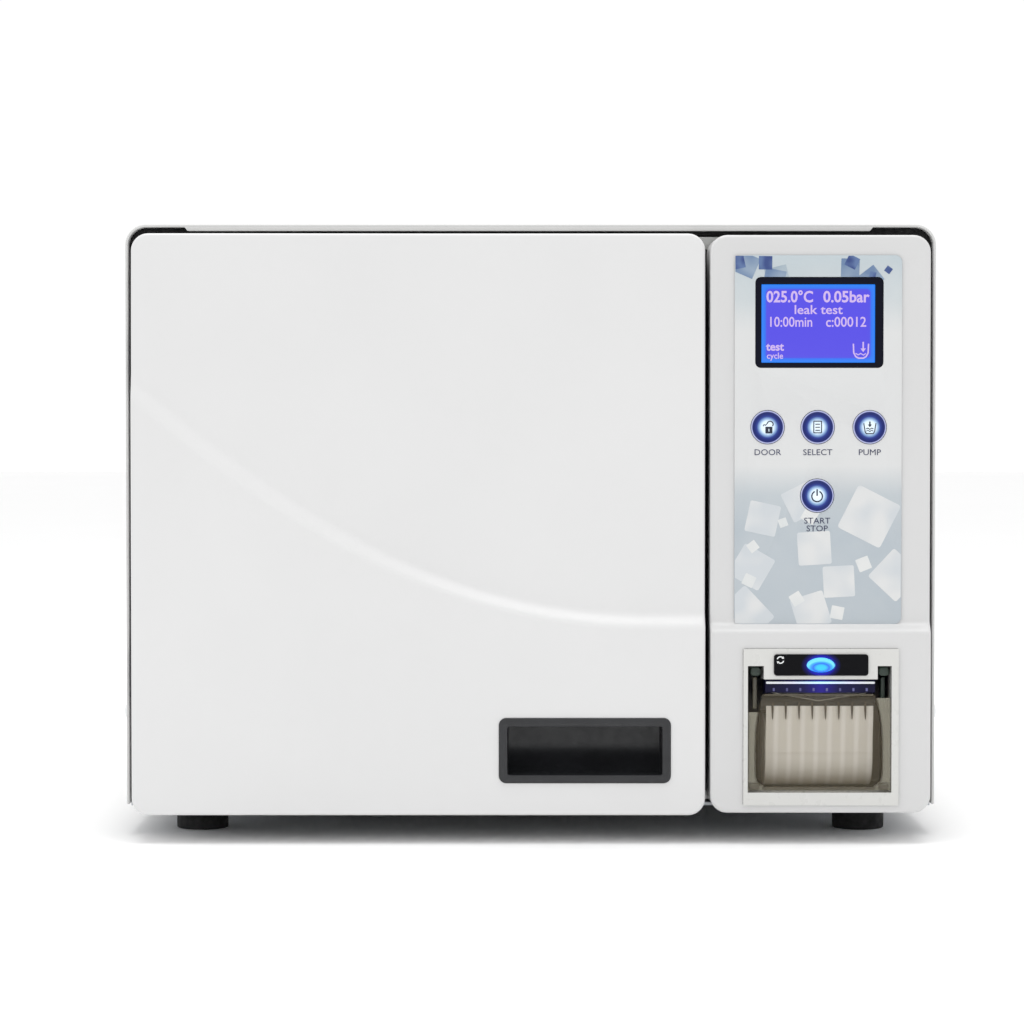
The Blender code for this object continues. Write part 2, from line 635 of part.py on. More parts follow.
def build_door_inside():
    """Liner, hinged steel arm, pressure plate, gasket and the keeper of the lock."""
    pivot = (HINGE_X, HINGE_Y, 0.0)
    liner_outlines = [
        rounded(LINER_LEFT, DOOR_LOW + 0.003, DOOR_RIGHT - 0.003, DOOR_HIGH - 0.003, 0.006),
        circle(CHAMBER_X, CHAMBER_Z, LINER_MOUTH, 48),
        rectangle(KEEPER_X - 0.0060, KEEPER_Z - 0.008, KEEPER_X + 0.0060, KEEPER_Z + 0.008),
    ]
    liner = prism("door_liner", liner_outlines, *LINER_Y)
    finish(pivot_at(liner, pivot), WHITE, 0.45)

    arm = prism("door_arm", [rectangle(*ARM_BAR)], *ARM_Y)
    join(arm, prism("arm_stile", [rectangle(*ARM_STILE)], *ARM_Y))
    for level, z in HINGE_LEVELS.items():
        for side, sign in (("under", -1), ("over", 1)):
            near = z + sign * (KNUCKLE_HEIGHT / 2 + 0.001)
            far = near + sign * LUG_THICKNESS
            low, high = sorted((near, far))
            join(arm, cylinder(f"arm_lug_{level}_{side}", KNUCKLE_RADIUS, (HINGE_X, HINGE_Y, low),
                               (HINGE_X, HINGE_Y, high), 24),
                 block(f"arm_web_{level}_{side}", (HINGE_X, HINGE_Y - 0.0055, low + 0.0002),
                       (-0.190, HINGE_Y + 0.0015, high - 0.0002)))
    cut(arm, cylinder("arm_bore", PIN_RADIUS + GAP, (HINGE_X, HINGE_Y, PIN_LOW - 0.01),
                      (HINGE_X, HINGE_Y, PIN_HIGH + 0.01), 24))
    finish(pivot_at(arm, pivot), STEEL, 0.4, 1.0)

    pin = cylinder("hinge_pin", PIN_RADIUS, (HINGE_X, HINGE_Y, PIN_LOW), (HINGE_X, HINGE_Y, PIN_HIGH), 24)
    finish(pin, STEEL, 0.2, 1.0)

    boss = ARM_Y[1] + GAP
    face = -PLATE_FACE
    plate = [(0.0, -boss), (PLATE_BOSS, -boss), (PLATE_BOSS, face + 0.0225),
             (PLATE_RADIUS - 0.003, face + 0.0200), (PLATE_RADIUS, face + 0.0170),
             (PLATE_RADIUS, face), (0.0, face)]
    finish(turned("door_plate", plate, (CHAMBER_X, 0.0, CHAMBER_Z), "XZ", 48), STEEL, 0.2, 1.0)
    ring = [(GASKET_OUTER, face - GAP), (GASKET_OUTER, -GASKET_BACK), (GASKET_INNER, -GASKET_BACK),
            (GASKET_INNER, face - GAP)]
    gasket = turned("door_gasket", ring, (CHAMBER_X, 0.0, CHAMBER_Z), "XZ", 48, closed=True)
    finish(gasket, (0.70, 0.20, 0.12), 0.7)

    half_x, half_z = KEEPER_HALF
    keeper = block("door_keeper", (KEEPER_X - half_x, boss, KEEPER_Z - half_z),
                   (KEEPER_X + half_x, KEEPER_BACK, KEEPER_Z + half_z))
    cut(keeper, block("keeper_eye", (KEEPER_X - KEEPER_EYE, BOLT_Y - KEEPER_EYE, KEEPER_Z - 0.02),
                      (KEEPER_X + KEEPER_EYE, BOLT_Y + KEEPER_EYE, KEEPER_Z + 0.02)))
    finish(pivot_at(keeper, pivot), STEEL, 0.3, 1.0)


def build_hinges_and_lock():
    """Fixed hinge brackets, and the motor lock whose bolt rises through the keeper."""
    for level, z in HINGE_LEVELS.items():
        low = z - KNUCKLE_HEIGHT / 2
        high = z + KNUCKLE_HEIGHT / 2
        bracket = cylinder(f"hinge_bracket_{level}", KNUCKLE_RADIUS, (HINGE_X, HINGE_Y, low),
                           (HINGE_X, HINGE_Y, high), 24)
        join(bracket,
             block(f"bracket_arm_{level}", (HINGE_X - 0.0052, HINGE_Y, low + 0.0005),
                   (HINGE_X + 0.0052, FRAME_FRONT - GAP, high - 0.0005)),
             block(f"bracket_foot_{level}", (HINGE_X - 0.0052, FRAME_FRONT - 0.0032, low + 0.0010),
                   (HINGE_X + 0.0160, FRAME_FRONT - GAP, high - 0.0010)))
        cut(bracket, cylinder(f"bracket_bore_{level}", PIN_RADIUS + GAP, (HINGE_X, HINGE_Y, low - 0.01),
                              (HINGE_X, HINGE_Y, high + 0.01), 24))
        finish(bracket, STEEL, 0.4, 1.0)
    can_x, can_z = MOTOR_CAN
    motor = block("lock_motor", *MOTOR)
    join(motor, cylinder("lock_motor_can", MOTOR_CAN_RADIUS, (can_x, MOTOR[1][1] - 0.002, can_z),
                         (can_x, MOTOR_CAN_BACK, can_z), 32))
    cut(motor, cylinder("lock_motor_bore", BOLT_RADIUS + GAP, (KEEPER_X, BOLT_Y, BOLT_Z[0] - 0.003),
                        (KEEPER_X, BOLT_Y, BOLT_Z[1] + 0.01), 24))
    finish(motor, DARK, 0.5)
    bolt = cylinder("lock_bolt", BOLT_RADIUS, (KEEPER_X, BOLT_Y, BOLT_Z[0]),
                    (KEEPER_X, BOLT_Y, BOLT_Z[1]), 24)
    finish(bolt, STEEL, 0.2, 1.0)


# ---------------------------------------------------------------- control panel


def build_panel_cover():
    """Panel moulding beside the door, with the display, key and printer openings."""
    wall = MOULD_WALL
    cover = prism("panel_cover", [rounded(PANEL_LEFT, PANEL_LOW, PANEL_RIGHT, PANEL_HIGH, MOULD_CORNER)],
                  FRONT_LOW, MOULD_BACK)
    hollow = rounded(PANEL_LEFT + wall, PANEL_LOW + wall, PANEL_RIGHT - wall, PANEL_HIGH - wall,
                     MOULD_CORNER - wall)
    cut(cover,
        block("panel_upper_face", (PANEL_LEFT - 0.01, FRONT_LOW - 0.01, PANEL_STEP_Z),
              (PANEL_RIGHT + 0.01, FRONT_UP, PANEL_HIGH + 0.01)),
        prism("panel_hollow", [hollow], FRONT_UP + wall, MOULD_BACK + 0.01),
        prism("display_window", [rectangle(*grown(DISPLAY, GAP))], FRONT_LOW, FRONT_UP + 0.01),
        prism("printer_hole", [rectangle(*grown(PRINTER, GAP))], FRONT_LOW - 0.01, MOULD_BACK + 0.01))
    for name, (x, z) in KEY_PLACES.items():
        cut(cover, cylinder(f"{name}_hole", KEY_RADIUS + GAP, (x, FRONT_LOW, z), (x, FRONT_UP + 0.01, z), 32))
    finish(cover, WHITE, 0.35)


def build_overlay():
    """Printed film on the panel, with windows for the display and the keys."""
    left, low, right, high = OVERLAY
    outlines = [rounded(left, low, right, high, 0.0037), rectangle(*grown(DISPLAY, GAP))]
    outlines += [circle(x, z, KEY_RADIUS + GAP) for x, z in KEY_PLACES.values()]
    film = prism("keypad_overlay", outlines, OVERLAY_FRONT, FRONT_UP - GAP)
    finish(film, (0.70, 0.76, 0.80), 0.45)


def build_keys():
    """Round keys held behind the panel by their collars."""
    collar_front = -(FRONT_UP + MOULD_WALL + GAP)
    for name, (x, z) in KEY_PLACES.items():
        profile = [(0.0, -KEY_FRONT), (KEY_RADIUS - 0.0006, -KEY_FRONT), (KEY_RADIUS, -KEY_FRONT - 0.0004),
                   (KEY_RADIUS, collar_front), (KEY_RADIUS + 0.0012, collar_front),
                   (KEY_RADIUS + 0.0012, collar_front - 0.0012), (0.0, collar_front - 0.0012)]
        finish(turned(name, profile, (x, 0.0, z), "XZ", 32), (0.02, 0.04, 0.20), 0.35)


def build_display():
    """Display module behind its window, and the control board behind the keys."""
    left, low, right, high = DISPLAY
    module = block("display_module", (left, FRONT_UP - 0.0006, low), (right, DISPLAY_BACK, high))
    behind = FRONT_UP + MOULD_WALL + GAP
    join(module, block("display_body", (left - 0.004, behind, low - 0.004),
                       (right + 0.004, DISPLAY_BACK, high + 0.004)))
    finish(module, (0.10, 0.12, 0.75), 0.2)
    board = block("control_board", *CONTROL_BOARD)
    sockets = {"a": (0.112, 0.150, 0.020), "b": (0.140, 0.140, 0.014), "c": (0.170, 0.235, 0.022)}
    for key, (x, z, width) in sockets.items():
        join(board, block(f"board_socket_{key}", (x, -0.2250, z), (x + width, -0.2150, z + 0.008)))
    finish(board, GREEN, 0.5)


# ---------------------------------------------------------------- printer


def build_printer():
    """Panel printer: bay, head block, label, button, hinged cover with its platen, and the paper roll."""
    left, low, right, high = PRINTER
    bay_left, bay_low, bay_right, bay_high = PRINTER_BAY
    bay_back = PRINTER_BACK - MOULD_WALL
    frame = block("printer_frame", (left, PRINTER_FRONT, low), (right, PRINTER_BACK, high))
    half_x, half_z = BUTTON_HALF
    outline = (BUTTON_X - half_x, BUTTON_Z - half_z, BUTTON_X + half_x, BUTTON_Z + half_z)
    slot = rounded(*grown(outline, GAP), half_z)
    cut(frame,
        block("printer_bay", (bay_left, PRINTER_FRONT - 0.01, bay_low), (bay_right, bay_back, bay_high)),
        prism("button_pocket", [slot], PRINTER_FRONT - 0.01, POCKET_BACK))
    for side, near, far in (("left", bay_left, BAY_TOWER_INNER[0]), ("right", BAY_TOWER_INNER[1], bay_right)):
        cut(frame, block(f"bay_tower_{side}", (near, PRINTER_FRONT - 0.01, bay_high - 0.001),
                         (far, bay_back, BAY_TOWER_TOP)))
    finish(frame, WHITE, 0.4)

    head_left, head_low, head_right, head_high = HEAD
    head = block("print_head", (head_left, HEAD_Y[0], head_low), (head_right, HEAD_Y[1], head_high))
    join(head, block("thermal_bar", (head_left, THERMAL_BAR_Y[0], THERMAL_BAR_LOW),
                     (head_right, THERMAL_BAR_Y[1], head_low + 0.002)))
    finish(head, DARK, 0.45)

    label = prism("printer_label", [rounded(*LABEL, 0.0015), slot],
                  PRINTER_FRONT - 0.0009, PRINTER_FRONT - GAP)
    finish(label, DARK, 0.3)
    button = prism("feed_button", [rounded(*outline, half_z - GAP)], *BUTTON_Y)
    pivot_at(button, (BUTTON_X, sum(BUTTON_Y) / 2, BUTTON_Z))
    finish(button, (0.10, 0.20, 0.90), 0.3)

    finish(build_paper_cover(), (0.10, 0.14, 0.22), 0.1, alpha=0.6)
    platen = cylinder("platen_roller", PLATEN_RADIUS, (PLATEN_LEFT, PLATEN_Y, PLATEN_Z),
                      (PLATEN_RIGHT, PLATEN_Y, PLATEN_Z), 24)
    finish(platen, RUBBER, 0.7)
    roll = cylinder("paper_roll", ROLL_RADIUS, (ROLL_LEFT, ROLL_Y, ROLL_Z), (ROLL_RIGHT, ROLL_Y, ROLL_Z), 48)
    cut(roll, cylinder("roll_core", ROLL_CORE, (ROLL_LEFT - 0.01, ROLL_Y, ROLL_Z),
                       (ROLL_RIGHT + 0.01, ROLL_Y, ROLL_Z), 24))
    finish(roll, (0.90, 0.90, 0.88), 0.8)


def build_paper_cover():
    """Bulged smoked shell with flat flanges, hinged along its lower edge, and ears that carry the platen."""
    steps = 10
    front = []
    for step in range(steps + 1):
        share = step / steps
        z = COVER_HINGE_Z + share * (COVER_TOP - COVER_HINGE_Z)
        front.append((WING_Y[0] - COVER_BULGE * math.sin(math.pi * share) ** 0.8, z))
    inside = [(y + COVER_SHEET, z) for y, z in reversed(front)]
    cover = prism("paper_cover", [front + inside], COVER_LEFT, COVER_RIGHT, "YZ")
    barrel = cylinder("cover_barrel", 0.0024, (COVER_LEFT, COVER_HINGE_Y, COVER_HINGE_Z),
                      (COVER_RIGHT, COVER_HINGE_Y, COVER_HINGE_Z), 20)
    join(cover, barrel)
    cheek = [(y + 0.0005, z) for y, z in front[1:-1]]
    cheek += [(WING_Y[1] + 0.0004, COVER_TOP - 0.0025), (WING_Y[1] + 0.0004, COVER_HINGE_Z + 0.0035)]
    ear = [(WING_Y[1] - 0.0009, 0.066), (PLATEN_Y + 0.0030, 0.0700),
           (PLATEN_Y + 0.0030, 0.0770), (WING_Y[1] - 0.0009, 0.0785)]
    sides = (("left", COVER_LEFT, 1, WING_LEFT), ("right", COVER_RIGHT, -1, WING_RIGHT))
    for side, edge, sign, wing_end in sides:
        inner = edge + sign * 0.0022
        cheek_ends = sorted((edge + sign * 0.0001, edge + sign * 0.0015))
        wing_left, wing_right = sorted((wing_end, inner))
        wing = rectangle(wing_left, COVER_HINGE_Z - 0.0018, wing_right, WING_TOPS[side])
        join(cover,
             prism(f"cover_cheek_{side}", [cheek], *cheek_ends, "YZ"),
             prism(f"cover_ear_{side}", [ear], *sorted((edge + sign * 0.0005, inner)), "YZ"),
             prism(f"cover_wing_{side}", [wing], *WING_Y))
    return pivot_at(cover, (COVER_LEFT, COVER_HINGE_Y, COVER_HINGE_Z))


# ---------------------------------------------------------------- service parts behind the door


def build_service_parts():
    """Air filter and the two tank couplers, reached with the door open."""
    body = [(0.0, 0.2058), (0.010, 0.2058), (0.0165, 0.2052), (FILTER_RADIUS, 0.2035),
            (FILTER_RADIUS, 0.160), (0.008, 0.156), (0.006, 0.146), (0.0, 0.146)]
    finish(turned("bacteria_filter", body, (FILTER_X, 0.0, FILTER_Z), "XZ", 32), (0.75, 0.80, 0.86), 0.3)
    body = [(0.0040, 0.2055), (COUPLER_RADIUS - 0.0010, 0.2055), (COUPLER_RADIUS, 0.2045),
            (COUPLER_RADIUS, 0.186), (0.0055, 0.183), (0.0055, 0.170), (0.0, 0.170), (0.0, 0.190),
            (0.0040, 0.192)]
    for name, x in COUPLER_X.items():
        coupler = turned(f"drain_coupler_{name}", body, (x, 0.0, COUPLER_Z), "XZ", 24, closed=True)
        finish(coupler, BRASS if name == "clean" else STEEL, 0.35, 1.0)


# ---------------------------------------------------------------- equipment inside the cabinet


def build_steam_side():
    """Safety valve, steam pipe, condenser, vacuum pump and water tank."""
    valve = [(0.0, -0.1243), (0.0100, -0.1243), (0.0100, -0.140), (0.0075, -0.143), (0.0110, -0.147),
             (0.0110, -0.168), (0.0050, -0.172), (0.0, -0.172)]
    finish(turned("safety_valve", valve, (VALVE_X, 0.0, CHAMBER_Z), "XZ", 24), BRASS, 0.3, 1.0)

    curve = bpy.data.curves.new("steam_pipe", "CURVE")
    curve.dimensions = "3D"
    curve.bevel_depth = PIPE_RADIUS
    curve.bevel_resolution = 2
    curve.use_fill_caps = True
    start = Vector((CHAMBER_X - 0.030, CHAMBER_BACK + 0.0030, CHAMBER_Z + 0.010))
    end = Vector((CONDENSER[0][0] + 0.030, 0.160, CONDENSER[1][2] + GAP))
    bend = PIPE_BEND
    corner = Vector((start.x, end.y, start.z))
    spine = [start]
    for step in range(7):
        turn = math.radians(90 * step / 6)
        spine.append(corner + Vector((-bend + bend * math.cos(turn), -bend + bend * math.sin(turn), 0.0)))
    elbow = Vector((end.x, end.y, start.z))
    for step in range(7):
        turn = math.radians(90 * step / 6)
        spine.append(elbow + Vector((bend - bend * math.sin(turn), 0.0, -bend + bend * math.cos(turn))))
    spine.append(end)
    spline = curve.splines.new("POLY")
    spline.points.add(len(spine) - 1)
    for point, place in zip(spline.points, spine):
        point.co = (*place, 1.0)
    finish(mesh_from_curve(add_object("steam_pipe", curve)), STEEL, 0.3, 1.0)

    low, high = CONDENSER
    condenser = block("condenser", low, high)
    for index in range(CONDENSER_FINS):
        y = low[1] + 0.006 + index * (high[1] - low[1] - 0.012) / (CONDENSER_FINS - 1)
        cut(condenser, block(f"condenser_gap_{index}", (low[0] - 0.01, y - 0.0017, low[2] + 0.012),
                             (low[0] + 0.022, y + 0.0017, high[2] + 0.01)))
    finish(condenser, (0.60, 0.40, 0.28), 0.4, 0.9)

    motor_x, motor_z = PUMP_AXIS
    pump = block("vacuum_pump", *PUMP)
    join(pump, cylinder("pump_motor", PUMP_MOTOR_RADIUS, (motor_x, PUMP[1][1] - 0.002, motor_z),
                        (motor_x, PUMP_MOTOR_BACK, motor_z), 32),
         block("pump_head", *PUMP_HEAD))
    finish(pump, (0.25, 0.26, 0.28), 0.5, 0.4)

    tank = block("water_tank", *TANK)
    bevel = tank.modifiers.new("round", "BEVEL")
    bevel.width = TANK_EDGE
    bevel.segments = 2
    finish(tank, (0.85, 0.88, 0.90), 0.5)

    outlet = [(0.0, 0.0), (0.0045, 0.0), (0.0060, -0.0030), (0.0048, -0.0032), (0.0064, -0.0070),
              (0.0064, -0.0260), (0.0, -0.0260)]
    finish(turned("drain_outlet", outlet, (OUTLET_X, DEPTH_HALF, OUTLET_Z), "XZ", 24), BRASS, 0.35, 1.0)
    bpy.data.objects["drain_outlet"].rotation_euler.z += math.pi


def build_fan():
    """Axial fan on the rear panel that draws air over the condenser."""
    low, high = FAN_Y
    body = rounded(FAN_X - FAN_HALF, FAN_Z - FAN_HALF, FAN_X + FAN_HALF, FAN_Z + FAN_HALF, 0.005)
    frame = prism("fan_frame", [body, circle(FAN_X, FAN_Z, FAN_HALF - 0.002, 48)], low, high)
    spokes = [cylinder("fan_stator", 0.017, (FAN_X, high - 0.004, FAN_Z), (FAN_X, high, FAN_Z), 32)]
    for index in range(4):
        angle = math.radians(45 + 90 * index)
        spoke = block(f"fan_spoke_{index}", (0.010, -0.0019, -0.0020), (FAN_HALF, 0.0019, 0.0020))
        turn = Matrix.Translation((FAN_X, high - 0.0020, FAN_Z)) @ Matrix.Rotation(-angle, 4, "Y")
        spoke.data.transform(spoke.matrix_world)
        spoke.matrix_world = turn
        spokes.append(spoke)
    join(frame, *spokes)
    finish(frame, DARK, 0.5)

    rotor = cylinder("fan_rotor", 0.0165, (FAN_X, low + 0.002, FAN_Z), (FAN_X, high - 0.0050, FAN_Z), 32)
    blades = 7
    for index in range(blades):
        blade = block(f"fan_blade_{index}", (0.014, -0.0075, -0.0007), (FAN_HALF - 0.0045, 0.0075, 0.0007))
        blade.data.transform(Matrix.Rotation(math.radians(35), 4, "X") @ blade.matrix_world)
        middle = Matrix.Translation((FAN_X, (low + high) / 2 - 0.0015, FAN_Z))
        blade.matrix_world = middle @ Matrix.Rotation(2 * math.pi * index / blades, 4, "Y")
        join(rotor, blade)
    finish(pivot_at(rotor, (FAN_X, (low + high) / 2, FAN_Z)), DARK, 0.5)


def build_mains():
    """Mains inlet, rocker switch and power board at the rear right."""
    back = REAR_PANEL_Y[1]
    proud = back + INLET_PROUD
    half_x, half_z = INLET_HALF
    switch_x, switch_z = SWITCH_HALF
    socket_x, socket_z = SOCKET_HALF
    rocker_x, rocker_z = ROCKER_HALF
    inlet = block("mains_inlet", (INLET_X - half_x, INLET_FRONT, INLET_Z - half_z),
                  (INLET_X + half_x, back + 0.001, INLET_Z + half_z))
    join(inlet,
         block("inlet_flange", (INLET_X - half_x - 0.0055, back + GAP, INLET_Z - half_z - 0.003),
               (INLET_X + half_x + 0.0055, proud, INLET_Z + half_z + 0.003)),
         block("switch_body", (INLET_X - switch_x, INLET_FRONT, SWITCH_Z - switch_z),
               (INLET_X + switch_x, back + 0.001, SWITCH_Z + switch_z)),
         block("switch_flange", (INLET_X - switch_x - 0.002, back + GAP, INLET_Z + half_z - 0.0035),
               (INLET_X + switch_x + 0.002, proud, SWITCH_Z + switch_z + 0.002)))
    cut(inlet,
        block("inlet_socket", (INLET_X - socket_x, SOCKET_FLOOR, INLET_Z - socket_z),
              (INLET_X + socket_x, proud + 0.02, INLET_Z + socket_z)),
        block("switch_pocket", (INLET_X - rocker_x, ROCKER_AXIS_Y - 0.006, SWITCH_Z - rocker_z),
              (INLET_X + rocker_x, proud + 0.02, SWITCH_Z + rocker_z)))
    finish(inlet, DARK, 0.45)

    rocker = []
    for angle in (-28, -14, 0, 14, 28):
        turn = math.radians(angle)
        rocker.append((ROCKER_AXIS_Y + 0.0085 * math.cos(turn) + 0.0012 * abs(math.sin(turn)),
                       SWITCH_Z + 0.0150 * math.sin(turn)))
    rocker += [(ROCKER_AXIS_Y - 0.003, SWITCH_Z + 0.0050), (ROCKER_AXIS_Y - 0.003, SWITCH_Z - 0.0050)]
    switch = prism("mains_switch", [rocker], INLET_X - rocker_x + 0.0005, INLET_X + rocker_x - 0.0005, "YZ")
    pivot_at(switch, (INLET_X, ROCKER_AXIS_Y, SWITCH_Z)).rotation_euler.x = math.radians(-SWITCH_TILT)
    finish(switch, (0.05, 0.35, 0.12), 0.35)

    board = block("power_board", *POWER_BOARD)
    blocks = {"transformer": (-0.060, 0.175, 0.045, 0.050, 0.038),
              "relay": (0.020, 0.170, 0.028, 0.018, 0.016),
              "terminals": (-0.030, 0.262, 0.090, 0.012, 0.012)}
    face = POWER_BOARD[0][0] + 0.0005
    for name, (y, z, width, height, depth) in blocks.items():
        join(board, block(f"board_{name}", (face - depth, y, z), (face + 0.0005, y + width, z + height)))
    finish(board, GREEN, 0.5)


# ---------------------------------------------------------------- assembly

build_casing()
build_casing_screws()
build_base()
build_front_frame()
build_rear_panel()
build_chamber()
build_trays()
build_door_cover()
build_handle_cup()
build_door_inside()
build_hinges_and_lock()
build_panel_cover()
build_overlay()
build_keys()
build_display()
build_printer()
build_service_parts()
build_steam_side()
build_fan()
build_mains()
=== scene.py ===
"""Looks of a benchtop autoclave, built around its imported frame.

Every piece is modelled in the frame's own coordinates in metres: front towards -Y, +Z up.
"""

import math
import random

import bmesh
import bpy
from mathutils import Matrix, Vector


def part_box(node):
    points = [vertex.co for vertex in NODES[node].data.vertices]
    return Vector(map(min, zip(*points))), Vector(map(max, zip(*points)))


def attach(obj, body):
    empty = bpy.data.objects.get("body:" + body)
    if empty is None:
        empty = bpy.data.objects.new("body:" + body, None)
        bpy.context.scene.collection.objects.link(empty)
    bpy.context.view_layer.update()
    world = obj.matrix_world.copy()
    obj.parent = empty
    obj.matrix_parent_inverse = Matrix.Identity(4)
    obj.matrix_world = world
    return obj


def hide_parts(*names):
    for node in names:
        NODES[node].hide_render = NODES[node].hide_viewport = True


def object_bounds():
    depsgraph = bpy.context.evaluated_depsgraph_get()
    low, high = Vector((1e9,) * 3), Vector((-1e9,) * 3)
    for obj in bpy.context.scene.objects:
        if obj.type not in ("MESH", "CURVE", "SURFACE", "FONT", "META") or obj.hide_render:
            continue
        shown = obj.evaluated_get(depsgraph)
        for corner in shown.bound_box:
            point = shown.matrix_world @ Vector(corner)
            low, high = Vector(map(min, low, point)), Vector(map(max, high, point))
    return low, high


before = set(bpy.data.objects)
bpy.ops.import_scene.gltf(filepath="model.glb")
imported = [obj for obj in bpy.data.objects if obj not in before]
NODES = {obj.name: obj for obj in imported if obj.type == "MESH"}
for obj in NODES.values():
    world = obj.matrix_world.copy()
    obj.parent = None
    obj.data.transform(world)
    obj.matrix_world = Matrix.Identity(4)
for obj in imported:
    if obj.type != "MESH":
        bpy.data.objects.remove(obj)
cad_low, cad_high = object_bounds()
HALF_PI = math.pi / 2

# ------------------------------------------------------------------ materials


def srgb(red, green, blue):
    """Linear colour of an sRGB triple given in 0 to 255."""
    out = []
    for value in (red, green, blue):
        share = value / 255
        out.append(share / 12.92 if share <= 0.04045 else ((share + 0.055) / 1.055) ** 2.4)
    return (*out, 1.0)


def scaled(color, factor):
    """Colour made lighter or darker."""
    return (*(min(1.0, channel * factor) for channel in color[:3]), 1.0)


class Surface:
    """A Principled material under construction, with nodes in object space."""

    def __init__(self, name, color, roughness=0.4, metallic=0.0):
        self.material = bpy.data.materials.new(name)
        self.material.use_nodes = True
        self.tree = self.material.node_tree
        self.shader = self.tree.nodes["Principled BSDF"]
        self.place = self.tree.nodes.new("ShaderNodeTexCoord").outputs["Object"]
        self.color = color
        self.height = None
        self.set("Base Color", color)
        self.set("Roughness", roughness)
        self.set("Metallic", metallic)

    def set(self, socket, value):
        self.shader.inputs[socket].default_value = value
        return self

    def node(self, kind, **values):
        node = self.tree.nodes.new(kind)
        for key, value in values.items():
            if hasattr(node, key):
                setattr(node, key, value)
            else:
                node.inputs[key].default_value = value
        return node

    def link(self, out, into):
        self.tree.links.new(out, into)

    def noise(self, scale, detail=3.0, stretch=(1, 1, 1), roughness=0.5):
        mapping = self.node("ShaderNodeMapping")
        mapping.inputs["Scale"].default_value = stretch
        self.link(self.place, mapping.inputs["Vector"])
        noise = self.node("ShaderNodeTexNoise")
        noise.inputs["Scale"].default_value = scale
        noise.inputs["Detail"].default_value = detail
        noise.inputs["Roughness"].default_value = roughness
        self.link(mapping.outputs["Vector"], noise.inputs["Vector"])
        return noise.outputs["Fac"]

    def ramp(self, factor, stops):
        ramp = self.node("ShaderNodeValToRGB")
        elements = ramp.color_ramp.elements
        while len(elements) < len(stops):
            elements.new(0.5)
        for element, (position, color) in zip(elements, stops):
            element.position = position
            element.color = color
        self.link(factor, ramp.inputs["Fac"])
        return ramp.outputs["Color"]

    def along(self, axis, start, end):
        """Share of the way between two places on an axis."""
        split = self.node("ShaderNodeSeparateXYZ")
        self.link(self.place, split.inputs["Vector"])
        span = self.node("ShaderNodeMapRange")
        span.inputs["From Min"].default_value = start
        span.inputs["From Max"].default_value = end
        self.link(split.outputs[axis], span.inputs["Value"])
        return span.outputs["Result"]

    def distance(self, x, z, reach_x=1.0, reach_z=1.0):
        """Distance from a point on the front, in units of the two reaches."""
        shift = self.node("ShaderNodeMapping")
        shift.inputs["Location"].default_value = (-x / reach_x, 0.0, -z / reach_z)
        shift.inputs["Scale"].default_value = (1 / reach_x, 0.0, 1 / reach_z)
        self.link(self.place, shift.inputs["Vector"])
        length = self.node("ShaderNodeVectorMath", operation="LENGTH")
        self.link(shift.outputs["Vector"], length.inputs[0])
        return length.outputs["Value"]

    def mottle(self, scale, amount, detail=4.0, stretch=(1, 1, 1)):
        """Slow colour variation about the base colour."""
        out = self.ramp(self.noise(scale, detail, stretch), [(0.3, scaled(self.color, 1 - amount)),
                                                            (0.7, scaled(self.color, 1 + amount))])
        self.link(out, self.shader.inputs["Base Color"])
        return self

    def uneven(self, scale, low, high, stretch=(1, 1, 1)):
        """Roughness that varies between two values."""
        ranged = self.node("ShaderNodeMapRange")
        ranged.inputs["From Min"].default_value = 0.3
        ranged.inputs["From Max"].default_value = 0.7
        ranged.inputs["To Min"].default_value = low
        ranged.inputs["To Max"].default_value = high
        self.link(self.noise(scale, 3.0, stretch), ranged.inputs["Value"])
        self.link(ranged.outputs["Result"], self.shader.inputs["Roughness"])
        return self

    def grain(self, scale, strength, distance=0.0002, stretch=(1, 1, 1), detail=2.0):
        """Fine relief over the surface."""
        bump = self.node("ShaderNodeBump")
        bump.inputs["Strength"].default_value = strength
        bump.inputs["Distance"].default_value = distance
        self.link(self.noise(scale, detail, stretch), bump.inputs["Height"])
        if self.height is not None:
            self.link(self.height, bump.inputs["Normal"])
        self.height = bump.outputs["Normal"]
        self.link(self.height, self.shader.inputs["Normal"])
        return self

    def done(self):
        self.material.diffuse_color = self.color
        return self.material


def enamel(name, color):
    """Powder-coated sheet with a fine orange-peel skin."""
    return (Surface(name, color, 0.42).mottle(9, 0.012).uneven(420, 0.36, 0.50)
            .grain(900, 0.10, 0.00012).grain(120, 0.05, 0.0004).done())


def moulding(name, color, low=0.30, high=0.42, grain=0.06):
    """Satin moulded plastic."""
    return (Surface(name, color, 0.36).mottle(14, 0.010).uneven(260, low, high)
            .grain(2200, grain, 0.00006).set("Coat Weight", 0.08).set("Coat Roughness", 0.25).done())


def metal(name, color, low, high, stretch=(1, 1, 1), grain=0.12, scale=500):
    """Bare metal, brushed along the axis that the stretch keeps small."""
    return (Surface(name, color, low, 1.0).mottle(60, 0.06, 5.0, stretch).uneven(scale, low, high, stretch)
            .grain(scale * 2, grain, 0.00005, stretch).done())


def rubber(name, color):
    """Matt rubber with a dusty bloom."""
    return (Surface(name, color, 0.8).mottle(90, 0.35).uneven(350, 0.66, 0.92)
            .grain(1600, 0.25, 0.00015).grain(240, 0.2, 0.0003).done())


def glow(name, color, strength, base=None):
    """Lit surface with a slightly cloudy diffuser."""
    surface = Surface(name, base or color, 0.35)
    surface.mottle(300, 0.04)
    surface.set("Emission Color", color)
    surface.set("Emission Strength", strength)
    return surface.grain(1500, 0.04, 0.00005).done()


